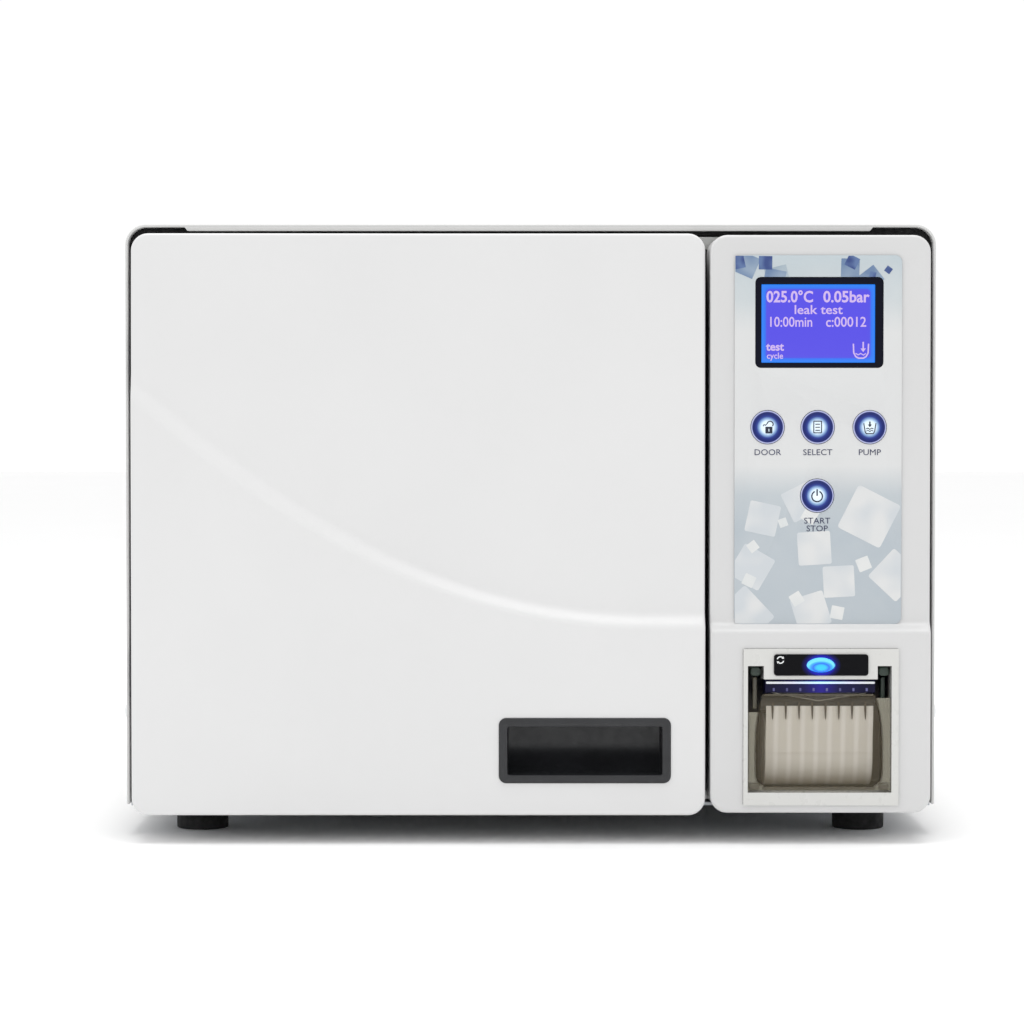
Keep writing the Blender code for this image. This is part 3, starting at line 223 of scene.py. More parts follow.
WHITE_SHEET = enamel("enamel_white", srgb(206, 206, 205))
WHITE_BACK = enamel("enamel_back", srgb(202, 203, 203))
DOOR_WHITE = moulding("door_plastic", srgb(213, 213, 213))
PANEL_WHITE = moulding("panel_plastic", srgb(203, 203, 203))
FRAME_GREY = moulding("frame_plastic", srgb(205, 206, 204), 0.4, 0.5)
PRINTER_WHITE = moulding("printer_plastic", srgb(203, 203, 200), 0.25, 0.36)
LINER_WHITE = moulding("liner_plastic", srgb(226, 228, 226), 0.38, 0.52, 0.12)
CUP_BLACK = (Surface("cup_black", srgb(30, 31, 34), 0.4).mottle(60, 0.2).uneven(300, 0.34, 0.5)
             .grain(1400, 0.22, 0.00012).done())
BLACK = (Surface("black_plastic", srgb(24, 25, 28), 0.42).mottle(80, 0.2).uneven(300, 0.35, 0.52)
         .grain(1200, 0.15, 0.0001).done())
FOOT_RUBBER = rubber("foot_rubber", srgb(15, 15, 16))
# Near-black foam for the strips behind the gaps, black so the gaps read as deep shade: painted shade.
SEAL_SHADE_BLACK = rubber("seal_foam_painted_shade", srgb(10, 10, 11))
ZINC = metal("zinc_screw", srgb(196, 198, 202), 0.18, 0.32, grain=0.08)
PAINTED_SCREW = enamel("painted_screw", srgb(228, 230, 231))
GALVANISED = (Surface("galvanised", srgb(176, 180, 184), 0.4, 0.9).mottle(55, 0.14, 2.0)
              .uneven(70, 0.3, 0.55).grain(180, 0.08, 0.0002).done())
CHAMBER_STEEL = (Surface("chamber_steel", srgb(206, 207, 208), 0.4, 0.35).mottle(40, 0.05)
                 .uneven(220, 0.34, 0.5, (1, 0.1, 1)).grain(700, 0.08, 0.00005).done())
BRUSHED = metal("brushed_steel", srgb(198, 199, 200), 0.22, 0.36, (1, 0.04, 1), 0.10)
POLISHED = metal("polished_steel", srgb(208, 208, 208), 0.10, 0.22, (1, 1, 0.05), 0.05)
DARK_STEEL = metal("bracket_steel", srgb(140, 142, 146), 0.32, 0.5, grain=0.15)
TRAY_METAL = metal("tray_aluminium", srgb(206, 208, 210), 0.24, 0.38, (0.05, 1, 1), 0.12)
BRASS = metal("brass", srgb(202, 168, 96), 0.2, 0.36, grain=0.08)
SILICONE = (Surface("silicone", srgb(196, 78, 52), 0.55).mottle(70, 0.08).uneven(200, 0.45, 0.62)
            .grain(900, 0.08, 0.0001).set("Subsurface Weight", 0.1)
            .set("Subsurface Radius", (0.002, 0.001, 0.0006)).done())
WOOL = Surface("wool", srgb(206, 198, 176), 0.95).mottle(160, 0.18).grain(420, 0.7, 0.001).done()
MICA = Surface("mica_band", srgb(150, 132, 104), 0.6, 0.2).mottle(90, 0.16).uneven(160, 0.45, 0.7).done()
COPPER = metal("condenser_copper", srgb(186, 128, 92), 0.25, 0.42, grain=0.1)
PUMP_GREY = (Surface("pump_paint", srgb(92, 96, 102), 0.5, 0.3).mottle(50, 0.1).uneven(150, 0.4, 0.6)
             .grain(300, 0.2, 0.0003).done())
TANK = (Surface("tank_plastic", srgb(222, 228, 230), 0.4).mottle(20, 0.03).uneven(90, 0.34, 0.5)
        .grain(500, 0.1, 0.0002).set("Subsurface Weight", 0.15)
        .set("Subsurface Radius", (0.004, 0.004, 0.004)).done())
BOARD_GREEN = (Surface("circuit_board", srgb(22, 92, 52), 0.4).mottle(700, 0.3, 2.0)
               .uneven(500, 0.3, 0.5).grain(900, 0.3, 0.0001).done())
RUBBER_ROLL = rubber("roller_rubber", srgb(44, 44, 44))

# ------------------------------------------------------------------ mesh helpers

TURNS = {
    "XZ": Matrix(((1, 0, 0, 0), (0, 0, -1, 0), (0, 1, 0, 0), (0, 0, 0, 1))),
    "YZ": Matrix(((0, 0, 1, 0), (1, 0, 0, 0), (0, 1, 0, 0), (0, 0, 0, 1))),
    "XY": Matrix.Identity(4),
}


def link(name, mesh):
    """Put a mesh in the scene."""
    obj = bpy.data.objects.new(name, mesh)
    bpy.context.scene.collection.objects.link(obj)
    return obj


def from_bmesh(name, bm, angle=35):
    """Object from a bmesh with outward normals and sharp real edges."""
    bmesh.ops.recalc_face_normals(bm, faces=bm.faces)
    mesh = bpy.data.meshes.new(name)
    bm.to_mesh(mesh)
    bm.free()
    mesh.shade_smooth()
    mesh.set_sharp_from_angle(angle=math.radians(angle))
    return link(name, mesh)


def applied(obj, angle=35):
    """Bake a piece's modifiers into its mesh."""
    bpy.context.view_layer.update()
    mesh = bpy.data.meshes.new_from_object(obj.evaluated_get(bpy.context.evaluated_depsgraph_get()))
    old = obj.data
    obj.modifiers.clear()
    obj.data = mesh
    if isinstance(old, bpy.types.Mesh):
        bpy.data.meshes.remove(old)
    mesh.shade_smooth()
    mesh.set_sharp_from_angle(angle=math.radians(angle))
    return obj


def prism(name, outlines, low, high, plane="XZ", bevel=0.0, segments=3):
    """Flat outline with holes after it, extruded between two levels, with rounded edges."""
    curve = bpy.data.curves.new(name, "CURVE")
    curve.dimensions = "2D"
    curve.fill_mode = "BOTH"
    curve.extrude = (high - low) / 2
    for outline in outlines:
        spline = curve.splines.new("POLY")
        spline.points.add(len(outline) - 1)
        for point, place in zip(spline.points, outline):
            point.co = (place[0], place[1], 0.0, 1.0)
        spline.use_cyclic_u = True
    middle = (low + high) / 2
    shift = {"XZ": (0, middle, 0), "YZ": (middle, 0, 0), "XY": (0, 0, middle)}[plane]
    helper = bpy.data.objects.new(name, curve)
    bpy.context.scene.collection.objects.link(helper)
    bpy.context.view_layer.update()
    mesh = bpy.data.meshes.new_from_object(helper.evaluated_get(bpy.context.evaluated_depsgraph_get()))
    bpy.data.objects.remove(helper, do_unlink=True)
    bpy.data.curves.remove(curve)
    mesh.transform(Matrix.Translation(shift) @ TURNS[plane])
    bm = bmesh.new()
    bm.from_mesh(mesh)
    bpy.data.meshes.remove(mesh)
    bmesh.ops.remove_doubles(bm, verts=bm.verts, dist=0.000004)
    bmesh.ops.dissolve_limit(bm, angle_limit=math.radians(1), verts=bm.verts, edges=bm.edges)
    obj = from_bmesh(name, bm)
    if bevel:
        soften(obj, bevel, segments)
    return obj


def soften(obj, width, segments=3, angle=40):
    """Round a piece's sharp edges and bake the result."""
    modifier = obj.modifiers.new("soften", "BEVEL")
    modifier.width = width
    modifier.segments = segments
    modifier.limit_method = "ANGLE"
    modifier.angle_limit = math.radians(angle)
    modifier.use_clamp_overlap = True
    modifier.harden_normals = False
    return applied(obj)


def turned(name, profile, centre, plane="XY", segments=64, closed=False):
    """Solid of revolution about the plane's normal; profile is (radius, height)."""
    bm = bmesh.new()
    turn = Matrix.Translation(centre) @ TURNS[plane]
    rings = []
    for radius, height in profile:
        if radius < 1e-7:
            rings.append([bm.verts.new(turn @ Vector((0, 0, height)))])
            continue
        rings.append([bm.verts.new(turn @ Vector((radius * math.cos(2 * math.pi * k / segments),
                                                  radius * math.sin(2 * math.pi * k / segments), height)))
                      for k in range(segments)])
    pairs = list(zip(rings, rings[1:]))
    if closed:
        pairs.append((rings[-1], rings[0]))
    for one, two in pairs:
        for k in range(segments):
            after = (k + 1) % segments
            if len(one) == 1 and len(two) == 1:
                break
            if len(one) == 1:
                bm.faces.new((one[0], two[k], two[after]))
            elif len(two) == 1:
                bm.faces.new((one[k], one[after], two[0]))
            else:
                bm.faces.new((one[k], one[after], two[after], two[k]))
    return from_bmesh(name, bm, 30)


def carve(obj, tools, operation="DIFFERENCE"):
    """Cut or join a piece with tools, which are then deleted."""
    for tool in tools:
        modifier = obj.modifiers.new("carve", "BOOLEAN")
        modifier.operation = operation
        modifier.solver = "EXACT"
        modifier.object = tool
    applied(obj)
    for tool in tools:
        bpy.data.objects.remove(tool, do_unlink=True)
    return obj


def merge(name, objects):
    """One object from several, kept as separate closed shells."""
    bm = bmesh.new()
    slots = []
    for obj in objects:
        start = len(bm.faces)
        bm.from_mesh(obj.data)
        bm.faces.ensure_lookup_table()
        offset = len(slots)
        slots += list(obj.data.materials)
        for face in bm.faces[start:]:
            face.material_index += offset
    mesh = bpy.data.meshes.new(name)
    bm.to_mesh(mesh)
    bm.free()
    for material in slots:
        mesh.materials.append(material)
    for obj in objects:
        bpy.data.objects.remove(obj, do_unlink=True)
    mesh.shade_smooth()
    mesh.set_sharp_from_angle(angle=math.radians(35))
    return link(name, mesh)


def rounded(left, low, right, high, radius, steps=8):
    """Rectangle outline with round corners, anticlockwise."""
    corners = [(right - radius, low + radius, -90), (right - radius, high - radius, 0),
               (left + radius, high - radius, 90), (left + radius, low + radius, 180)]
    outline = []
    for x, z, first in corners:
        for step in range(steps + 1):
            angle = math.radians(first + 90 * step / steps)
            outline.append((x + radius * math.cos(angle), z + radius * math.sin(angle)))
    return outline


def circle(x, z, radius, segments=64):
    """Circle outline."""
    turns = [2 * math.pi * step / segments for step in range(segments)]
    return [(x + radius * math.cos(turn), z + radius * math.sin(turn)) for turn in turns]


def arc_band(x, z, inner, outer, start, end, steps=16):
    """Outline of a bent stroke between two angles in degrees."""
    turns = [math.radians(start + (end - start) * step / steps) for step in range(steps + 1)]
    outside = [(x + outer * math.cos(turn), z + outer * math.sin(turn)) for turn in turns]
    inside = [(x + inner * math.cos(turn), z + inner * math.sin(turn)) for turn in reversed(turns)]
    return outside + inside


def rect(left, low, right, high):
    """Plain rectangle outline."""
    return [(left, low), (right, low), (right, high), (left, high)]


def moved(outline, x, z, size=1.0):
    """Outline scaled about its origin and put at a point."""
    return [(x + size * a, z + size * b) for a, b in outline]


def grown(bounds, amount):
    """Rectangle bounds made larger on every side."""
    left, low, right, high = bounds
    return (left - amount, low - amount, right + amount, high + amount)


def face_of(node):
    """Left, bottom, right and top of a node seen from the front, then its front and back."""
    low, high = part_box(node)
    return (low.x, low.z, high.x, high.z), low.y, high.y


def dress(obj, material, body, slot, *replaced):
    """Give a new piece its material and body, and hide the nodes it stands for; the slot is not used."""
    obj.data.materials.clear()
    obj.data.materials.append(material)
    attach(obj, body)
    if replaced:
        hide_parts(*replaced)
    return obj


def repaint(node, material, bevel=0.0, segments=2):
    """Give a carried-over node its material and soft edges."""
    obj = NODES[node]
    obj.data.materials.clear()
    obj.data.materials.append(material)
    for polygon in obj.data.polygons:
        polygon.material_index = 0
    if bevel:
        weld = obj.modifiers.new("weld", "WELD")
        weld.merge_threshold = 0.00001
        edge = obj.modifiers.new("edge", "BEVEL")
        edge.width = bevel
        edge.segments = segments
        edge.limit_method = "ANGLE"
        edge.angle_limit = math.radians(50)
    return obj


def stamp(name, outlines, surface_y, material, body, slot, depth=0.00005, plane="XZ"):
    """Print of flat shapes lying on a front face."""
    flats = [prism(f"{name}_{index}", [outline] if isinstance(outline[0][0], float) else outline,
                   surface_y - depth, surface_y + depth * 2, plane)
             for index, outline in enumerate(outlines)]
    piece = merge(name, flats) if len(flats) > 1 else flats[0]
    piece.name = name
    return dress(piece, material, body, slot)


# ------------------------------------------------------------------ door and panel mouldings

FRONT_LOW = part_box("door_cover")[0].y
UPPER_SETBACK = 0.0055
KEY_HOLE = 0.00905   # radius of the holes round the keys
EDGE_ROUND = 0.0015
DRAFT = 0.0005
WALL = 0.0025
CORNER = 0.0095


def smoothstep(value):
    value = min(1.0, max(0.0, value))
    return value * value * (3 - 2 * value)


def creased_shell(name, bounds, back, crease, face, columns, bands):
    """Closed moulding with a creased front, round corners, drafted walls and an open back.

    crease(x) is the height of the crease, face(x, z) the depth of the front,
    and bands the row offsets about the crease.
    """
    left, low, right, high = bounds
    inner_left, inner_right = left + CORNER, right - CORNER
    inner_low, inner_high = low + CORNER, high - CORNER
    arc = 8
    bm = bmesh.new()

    def height(x, row):
        line = crease(x)
        if row < 8:
            return inner_low + (line + bands[0] - inner_low) * row / 8
        if row < 8 + len(bands):
            return line + bands[row - 8]
        share = (row - 7 - len(bands)) / 10
        return line + bands[-1] + (inner_high - line - bands[-1]) * share

    rows = 8 + len(bands) + 10

    def sheet(extra):
        grid = []
        for row in range(rows):
            line = []
            for column in range(columns + 1):
                x = inner_left + (inner_right - inner_left) * column / columns
                z = height(x, row)
                line.append(bm.verts.new((x, face(x, z) + extra, z)))
            grid.append(line)
        for row in range(rows - 1):
            for column in range(columns):
                bm.faces.new((grid[row][column], grid[row][column + 1],
                              grid[row + 1][column + 1], grid[row + 1][column]))
        return grid

    def border():
        """Places on the core's border: x, z, outward direction and the grid vertex behind."""
        spots = []
        for column in range(columns + 1):
            spots.append((0, column, (0, -1)))
        for row in range(rows):
            spots.append((row, columns, (1, 0)))
        for column in range(columns, -1, -1):
            spots.append((rows - 1, column, (0, 1)))
        for row in range(rows - 1, -1, -1):
            spots.append((row, 0, (-1, 0)))
        out = []
        for index, (row, column, way) in enumerate(spots):
            out.append((row, column, way))
            after = spots[(index + 1) % len(spots)]
            if (after[0], after[1]) == (row, column) and after[2] != way:
                start = math.atan2(way[1], way[0])
                for step in range(1, arc):
                    turn = start + HALF_PI * step / arc
                    out.append((row, column, (math.cos(turn), math.sin(turn))))
        return out

    spots = border()

    def ring(grid, distance, depth):
        points = []
        for row, column, way in spots:
            base = grid[row][column].co
            x = base.x + way[0] * distance
            z = base.z + way[1] * distance
            points.append(bm.verts.new((x, depth(x, z), z)))
        return points

    def bridge(one, two):
        count = len(one)
        for index in range(count):
            after = (index + 1) % count
            corners = []
            for vertex in (one[index], one[after], two[after], two[index]):
                if vertex not in corners:
                    corners.append(vertex)
            if len(corners) > 2:
                bm.faces.new(corners)

    outer = sheet(0.0)
    previous = [outer[row][column] for row, column, way in spots]
    edge_at = CORNER - DRAFT
    for share in (0.35, 0.7, 1.0):
        here = ring(outer, (edge_at - EDGE_ROUND) * share, face)
        bridge(previous, here)
        previous = here
    for step in range(1, 7):
        turn = HALF_PI * step / 6
        distance = edge_at - EDGE_ROUND + EDGE_ROUND * math.sin(turn)
        drop = EDGE_ROUND * (1 - math.cos(turn))
        here = ring(outer, distance, lambda x, z, d=drop: face(x, z) + d)
        bridge(previous, here)
        previous = here
    for distance, level in ((CORNER - 0.0003, back - 0.0006), (CORNER - 0.0005, back),
                            (CORNER - WALL, back)):
        here = ring(outer, distance, lambda x, z, y=level: y)
        bridge(previous, here)
        previous = here
    inner = sheet(WALL)
    here = ring(inner, CORNER - WALL, lambda x, z: face(x, z) + WALL + 0.001)
    bridge(previous, here)
    previous = here
    bridge(previous, [inner[row][column] for row, column, way in spots])
    return from_bmesh(name, bm, 40)


DOOR_BOUNDS, _, DOOR_BACK = face_of("door_cover")
CREASE_END = 0.062
CREASE_LEVEL = 0.1134


def door_crease(x):
    """Height of the door's crease."""
    return CREASE_LEVEL + 1.63 * max(0.0, CREASE_END - x) ** 2


def door_face(x, z):
    """Depth of the door's front: proud below the crease, set back above it."""
    fade = smoothstep((x + 0.19) / 0.16)
    setback = UPPER_SETBACK * (0.55 + 0.45 * fade)
    rise = (z - door_crease(x) + 0.0005) / (0.0095 + 0.004 * (1 - fade))
    crown = 0.0014 * max(0.0, (z - 0.235) / 0.075) ** 2
    return FRONT_LOW + setback * smoothstep(rise) + crown


def panel_crease(x):
    return 0.1115


def panel_face(x, z):
    """Depth of the panel's front."""
    rise = (z - 0.1110) / 0.0065
    return FRONT_LOW + UPPER_SETBACK * smoothstep(rise)


BANDS = [-0.0040, -0.0015, -0.0006, 0.0003, 0.0012, 0.0022, 0.0032, 0.0042, 0.0052, 0.0062, 0.0072,
         0.0082, 0.0092, 0.0102, 0.0114, 0.0130, 0.0150]
PANEL_BANDS = [-0.0030, -0.0012, -0.0005, 0.0002, 0.0009, 0.0016, 0.0023, 0.0030, 0.0037, 0.0044,
               0.0052, 0.0060, 0.0072]


def build_door():
    """Outer door moulding, its grip, and the plates behind it."""
    shell = creased_shell("door_moulding", DOOR_BOUNDS, DOOR_BACK, door_crease, door_face, 48, BANDS)
    cup, cup_front, cup_back = face_of("door_handle_cup")
    tools = [prism("cup_hole", [rounded(*grown(cup, -0.0006), 0.0034)], FRONT_LOW - 0.01, -0.236)]
    for bracket in ("hinge_bracket_lower", "hinge_bracket_upper"):
        low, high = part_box(bracket)
        tools.append(prism("notch", [rect(-0.238, low.z - 0.0025, DOOR_BACK + 0.005, high.z + 0.0025)],
                           DOOR_BOUNDS[0] - 0.005, DOOR_BOUNDS[0] + 0.0035, "YZ"))
    carve(shell, tools)
    dress(shell, DOOR_WHITE, "door", "white_moulding", "door_cover")
    build_grip(cup, cup_front, cup_back)

    repaint("door_liner", LINER_WHITE, 0.0004)
    repaint("door_arm", BRUSHED, 0.0006)
    repaint("hinge_pin", POLISHED, 0.0004)
    repaint("door_plate", POLISHED, 0.0006)
    repaint("door_gasket", SILICONE, 0.0008, 3)
    repaint("door_keeper", POLISHED, 0.0005)


def build_grip(cup, front, back):
    """Black recessed grip with a proud rim, a top lip and a sloping floor."""
    left, low, right, high = cup
    rim = 0.0046
    body = prism("door_grip", [rounded(left, low, right, high, 0.0040)], front, back, bevel=0.0009)
    lip = high - rim
    sill = low + rim - 0.0002
    floor = back - 0.0024
    slope = [(front - 0.004, sill), (front + 0.0012, sill)]
    for step in range(1, 13):
        turn = HALF_PI * step / 12
        slope.append((front + 0.0012 + (floor - front - 0.0012) * math.sin(turn),
                      sill + 0.0150 * (1 - math.cos(turn))))
    ceiling = high - 0.0024
    slope += [(floor, ceiling - 0.003), (floor - 0.003, ceiling), (front + 0.0075, ceiling),
              (front + 0.0048, ceiling - 0.0008), (front + 0.0036, lip), (front - 0.004, lip)]
    pocket = prism("pocket", [slope], left + rim, right - rim, "YZ", bevel=0.0012, segments=3)
    carve(body, [pocket])
    soften(body, 0.0004, 2, 50)
    dress(body, CUP_BLACK, "door", "black_plastic", "door_handle_cup")


def build_panel():
    """Panel moulding with its openings."""
    bounds, _, _ = face_of("panel_cover")
    shell = creased_shell("panel_moulding", bounds, -0.208, panel_crease, panel_face, 20, PANEL_BANDS)
    printer, _, _ = face_of("printer_frame")
    film = FILM_BOUNDS
    window = (film[0] + 0.0110, 0.2511, film[2] - 0.0099, 0.2986)
    tools = [prism("window", [rect(*grown(window, 0.0002))], FRONT_LOW, -0.23),
             prism("printer_hole", [rounded(*grown(printer, 0.00012), 0.0008)], FRONT_LOW - 0.01, -0.19)]
    for key in ("key_door", "key_select", "key_pump", "key_start"):
        low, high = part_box(key)
        tools.append(prism(f"{key}_hole", [circle((low.x + high.x) / 2, (low.z + high.z) / 2, KEY_HOLE)],
                           FRONT_LOW, -0.23))
    carve(shell, tools)
    dress(shell, PANEL_WHITE, "cabinet", "white_moulding", "panel_cover")


# ------------------------------------------------------------------ cabinet


CARRIED_OVER = {
    "front_frame": (FRAME_GREY, 0.0005), "chassis_base": (GALVANISED, 0.0003), "rear_panel": (WHITE_BACK,),
    "chamber_vessel": (CHAMBER_STEEL,), "chamber_heater": (MICA,), "chamber_insulation": (WOOL,),
    "tray_rack": (BRUSHED, 0.0003), "safety_valve": (BRASS,), "steam_pipe": (BRUSHED,),
    "condenser": (COPPER,), "vacuum_pump": (PUMP_GREY, 0.0015), "water_tank": (TANK,),
    "power_board": (BOARD_GREEN, 0.0003), "control_board": (BOARD_GREEN, 0.0003),
    "lock_motor": (BLACK, 0.0008), "lock_bolt": (POLISHED, 0.0005),
    "hinge_bracket_lower": (DARK_STEEL, 0.0005), "hinge_bracket_upper": (DARK_STEEL, 0.0005),
    "fan_frame": (BLACK, 0.0006), "fan_rotor": (BLACK,), "drain_outlet": (BRASS,),
    "drain_coupler_clean": (BRASS,), "drain_coupler_used": (POLISHED,), "mains_inlet": (BLACK, 0.0004),
    "mains_switch": (Surface("switch_green", srgb(36, 122, 62), 0.3).mottle(90, 0.08)
                     .grain(900, 0.08, 0.0001).done(), 0.0004),
    "bacteria_filter": (Surface("filter_plastic", srgb(206, 218, 228), 0.25).mottle(60, 0.05)
                        .uneven(120, 0.2, 0.34).grain(500, 0.05, 0.0002).done(),),
}


def build_cabinet():
    """Bent casing with its folded front hem, and everything fixed under and behind it."""
    low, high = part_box("casing_wrap")
    sheet = 0.0015
    corner = 0.011
    outer = rounded(low.x, -high.z, high.x, high.z, corner, 12)
    inner = rounded(low.x + sheet, -high.z, high.x - sheet, high.z - sheet, corner - sheet, 12)
    arch = [point for point in outer if point[1] > 0]
    lining = [point for point in inner if point[1] > 0]
    outline = [(high.x, low.z), *arch, (low.x, low.z), (low.x + sheet, low.z), *reversed(lining),
               (high.x - sheet, low.z)]
    casing = prism("casing_shell", [outline], low.y, high.y, bevel=0.0005, segments=2)
    top = high.z - sheet
    left, right = -0.1860, 0.1840
    hem = prism("casing_hem", [[(left, top + 0.0004), (left + 0.0019, top - 0.0019),
                                (right - 0.0019, top - 0.0019), (right, top + 0.0004)]],
                low.y, low.y + 0.012, bevel=0.0002, segments=2)
    carve(casing, [hem], "UNION")
    dress(casing, WHITE_SHEET, "cabinet", "white_enamel", "casing_wrap")

    for side, sign in (("left", -1), ("right", 1)):
        screw_low, screw_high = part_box(f"casing_screw_{side}")
        middle = (screw_low + screw_high) / 2
        place = (sign * high.x, middle.y, middle.z)
        build_screw(f"side_screw_{side}", place, Vector((sign, 0, 0)), 0.0043, 0.0022,
                    PAINTED_SCREW, "white_enamel", f"casing_screw_{side}")
        base_low, base_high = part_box(f"base_screw_{side}")
        middle = (base_low + base_high) / 2
        build_screw(f"under_screw_{side}", (middle.x, middle.y, base_high.z), Vector((0, 0, -1)),
                    0.0045, base_high.z - base_low.z, ZINC, "screw_steel", f"base_screw_{side}")

    for row in ("front", "rear"):
        for side in ("left", "right"):
            build_foot(row, side)
    # Black foam strip under the casing's front edge, so the gap round the mouldings reads as deep shade:
    # painted shade.
    seal_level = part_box("front_frame")[0].y
    gap_outline = [point for point in rounded(low.x + sheet + 0.0002, -high.z, high.x - sheet - 0.0002,
                                              top - 0.0002, corner - sheet, 12) if point[1] > 0]
    strip = [point for point in rounded(low.x + 0.0050, -high.z, high.x - 0.0050, top - 0.0042,
                                        corner - 0.0045, 12) if point[1] > 0]
    band = [(high.x - sheet - 0.0002, 0.020), *gap_outline, (low.x + sheet + 0.0002, 0.020),
            (low.x + 0.0050, 0.020), *reversed(strip), (high.x - 0.0050, 0.020)]
    seal = prism("casing_shade_seal", [band], seal_level + 0.0016, seal_level + 0.0060, bevel=0.0004)
    dress(seal, SEAL_SHADE_BLACK, "cabinet", "black_rubber")

    # Black strip behind the gap between door and panel, so the gap reads as deep shade: painted shade.
    gap_left, gap_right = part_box("door_cover")[1].x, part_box("panel_cover")[0].x
    strip = prism("gap_shade_seal", [rounded(gap_left - 0.0022, 0.0240, gap_right + 0.0022, 0.3150, 0.0015)],
                  seal_level - 0.0040, seal_level - 0.0002, bevel=0.0006)
    dress(strip, SEAL_SHADE_BLACK, "cabinet", "black_rubber")

    for node, (material, *bevel) in CARRIED_OVER.items():
        repaint(node, material, *bevel)


def build_screw(name, place, way, radius, rise, material, slot, node):
    """Domed screw with a cross recess."""
    profile = [(radius * 0.55, -0.0030), (radius * 0.55, 0.0), (radius * 0.97, 0.0), (radius, rise * 0.12),
               (radius * 0.96, rise * 0.35), (radius * 0.82, rise * 0.65), (radius * 0.55, rise * 0.90),
               (radius * 0.28, rise * 0.99), (0.0, rise)]
    screw = turned(name, [(0.0, -0.0030)] + profile, (0, 0, 0), segments=48)
    arm = radius * 0.52
    slim = radius * 0.11
    cross = [[(-arm, -slim), (arm, -slim), (arm, slim), (-arm, slim)],
             [(-slim, -arm), (slim, -arm), (slim, arm), (-slim, arm)]]
    tools = [prism(f"{name}_recess_{index}", [outline], rise * 0.45, rise * 1.3, "XY")
             for index, outline in enumerate(cross)]
    carve(screw, tools)
    turn = Vector((0, 0, 1)).rotation_difference(way).to_matrix().to_4x4()
    screw.data.transform(Matrix.Translation(place) @ turn)
    dress(screw, material, "cabinet", slot, *([node] if node else []))


def build_foot(row, side):
    """Rubber foot, turned, with a slight taper and a soft lip."""
    node = f"foot_{row}_{side}"
    low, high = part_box(node)
    radius = (high.x - low.x) / 2
    tall = high.z - low.z
    profile = [(0.0, 0.0012), (radius * 0.62, 0.0012), (radius * 0.66, 0.0), (radius * 0.95, 0.0),
               (radius * 0.985, 0.0004), (radius * 0.99, 0.0012), (radius * 0.995, tall * 0.45),
               (radius, tall - 0.0034), (radius, tall - 0.0012),
               (radius * 0.975, tall - 0.0003), (radius * 0.93, tall), (0.0, tall)]
    foot = turned(f"rubber_{node}", profile, ((low.x + high.x) / 2, (low.y + high.y) / 2, low.z))
    dress(foot, FOOT_RUBBER, "cabinet", "black_rubber", node)


# ------------------------------------------------------------------ control panel

MILLIMETRE = 0.001
FILM_BOUNDS = face_of("keypad_overlay")[0]


def square(x, z, side, tilt, radius=0.08):
    """Tilted square with slightly round corners."""
    half = side / 2
    turn = Matrix.Rotation(math.radians(tilt), 2)
    points = []
    for a, b in rounded(-half, -half, half, half, radius * side, 3):
        point = turn @ Vector((a, b))
        points.append((x + point.x, z + point.y))
    return points


def clipped(outline, bounds):
    """Convex outline cut to a rectangle."""
    left, low, right, high = bounds
    sides = ((0, 1, left), (0, -1, right), (1, 1, low), (1, -1, high))
    for axis, sign, limit in sides:
        kept = []
        for index, here in enumerate(outline):
            before = outline[index - 1]
            inside = sign * (here[axis] - limit) >= 0
            was_inside = sign * (before[axis] - limit) >= 0
            if inside != was_inside:
                share = (limit - before[axis]) / (here[axis] - before[axis])
                kept.append((before[0] + share * (here[0] - before[0]),
                             before[1] + share * (here[1] - before[1])))
            if inside:
                kept.append(here)
        outline = kept
    return outline


def lettering(name, text, x, z, height, surface_y, material, body, slot, width=1.0, weight=0.0):
    """Line of plain characters centred on a point, as a thin print."""
    curve = bpy.data.curves.new(name, "FONT")
    curve.body = text
    curve.align_x = "CENTER"
    curve.align_y = "CENTER"
    curve.size = height / 0.70 / MILLIMETRE
    curve.offset = weight / MILLIMETRE
    curve.extrude = 0.00006 / MILLIMETRE
    curve.resolution_u = 3
    helper = bpy.data.objects.new(name, curve)
    bpy.context.scene.collection.objects.link(helper)
    bpy.context.view_layer.update()
    mesh = bpy.data.meshes.new_from_object(helper.evaluated_get(bpy.context.evaluated_depsgraph_get()))
    bpy.data.objects.remove(helper, do_unlink=True)
    bpy.data.curves.remove(curve)
    shrink = Matrix.Diagonal((width * MILLIMETRE, MILLIMETRE, MILLIMETRE, 1))
    mesh.transform(Matrix.Translation((x, surface_y, z)) @ TURNS["XZ"] @ shrink)
    bm = bmesh.new()
    bm.from_mesh(mesh)
    bpy.data.meshes.remove(mesh)
    bmesh.ops.remove_doubles(bm, verts=bm.verts, dist=0.000001)
    return dress(from_bmesh(name, bm), material, body, slot)


def scattered(seed, count, low, high, small, large):
    """Loose spread of tilted squares across the film, as (left, up, side, tilt), clear of each other."""
    draw = random.Random(seed)
    wide = (FILM_BOUNDS[2] - FILM_BOUNDS[0]) / MILLIMETRE
    places = []
    for _ in range(count * 40):
        side = draw.uniform(small, large)
        across = draw.uniform(0.0, wide)
        up = draw.uniform(low, high)
        tilt = draw.uniform(-44.0, 44.0)
        if all(math.hypot(across - a, up - b) > 0.62 * (side + other) for a, b, other, _ in places):
            places.append((across, up, side, tilt))
        if len(places) == count:
            break
    return places


FILM_TALL = 1000 * (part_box("keypad_overlay")[1].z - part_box("keypad_overlay")[0].z)
SQUARES = {
    "white": scattered(4, 9, 4.0, 70.0, 16.0, 27.0),
    "bright": scattered(9, 8, 3.0, 78.0, 4.0, 9.0),
    "pale": scattered(14, 3, FILM_TALL - 34.0, FILM_TALL - 4.0, 11.0, 14.0),
    "mid": scattered(21, 4, FILM_TALL - 13.0, FILM_TALL - 3.0, 9.0, 13.0),
    "navy": scattered(27, 5, FILM_TALL - 14.0, FILM_TALL - 3.0, 3.0, 8.0),
}


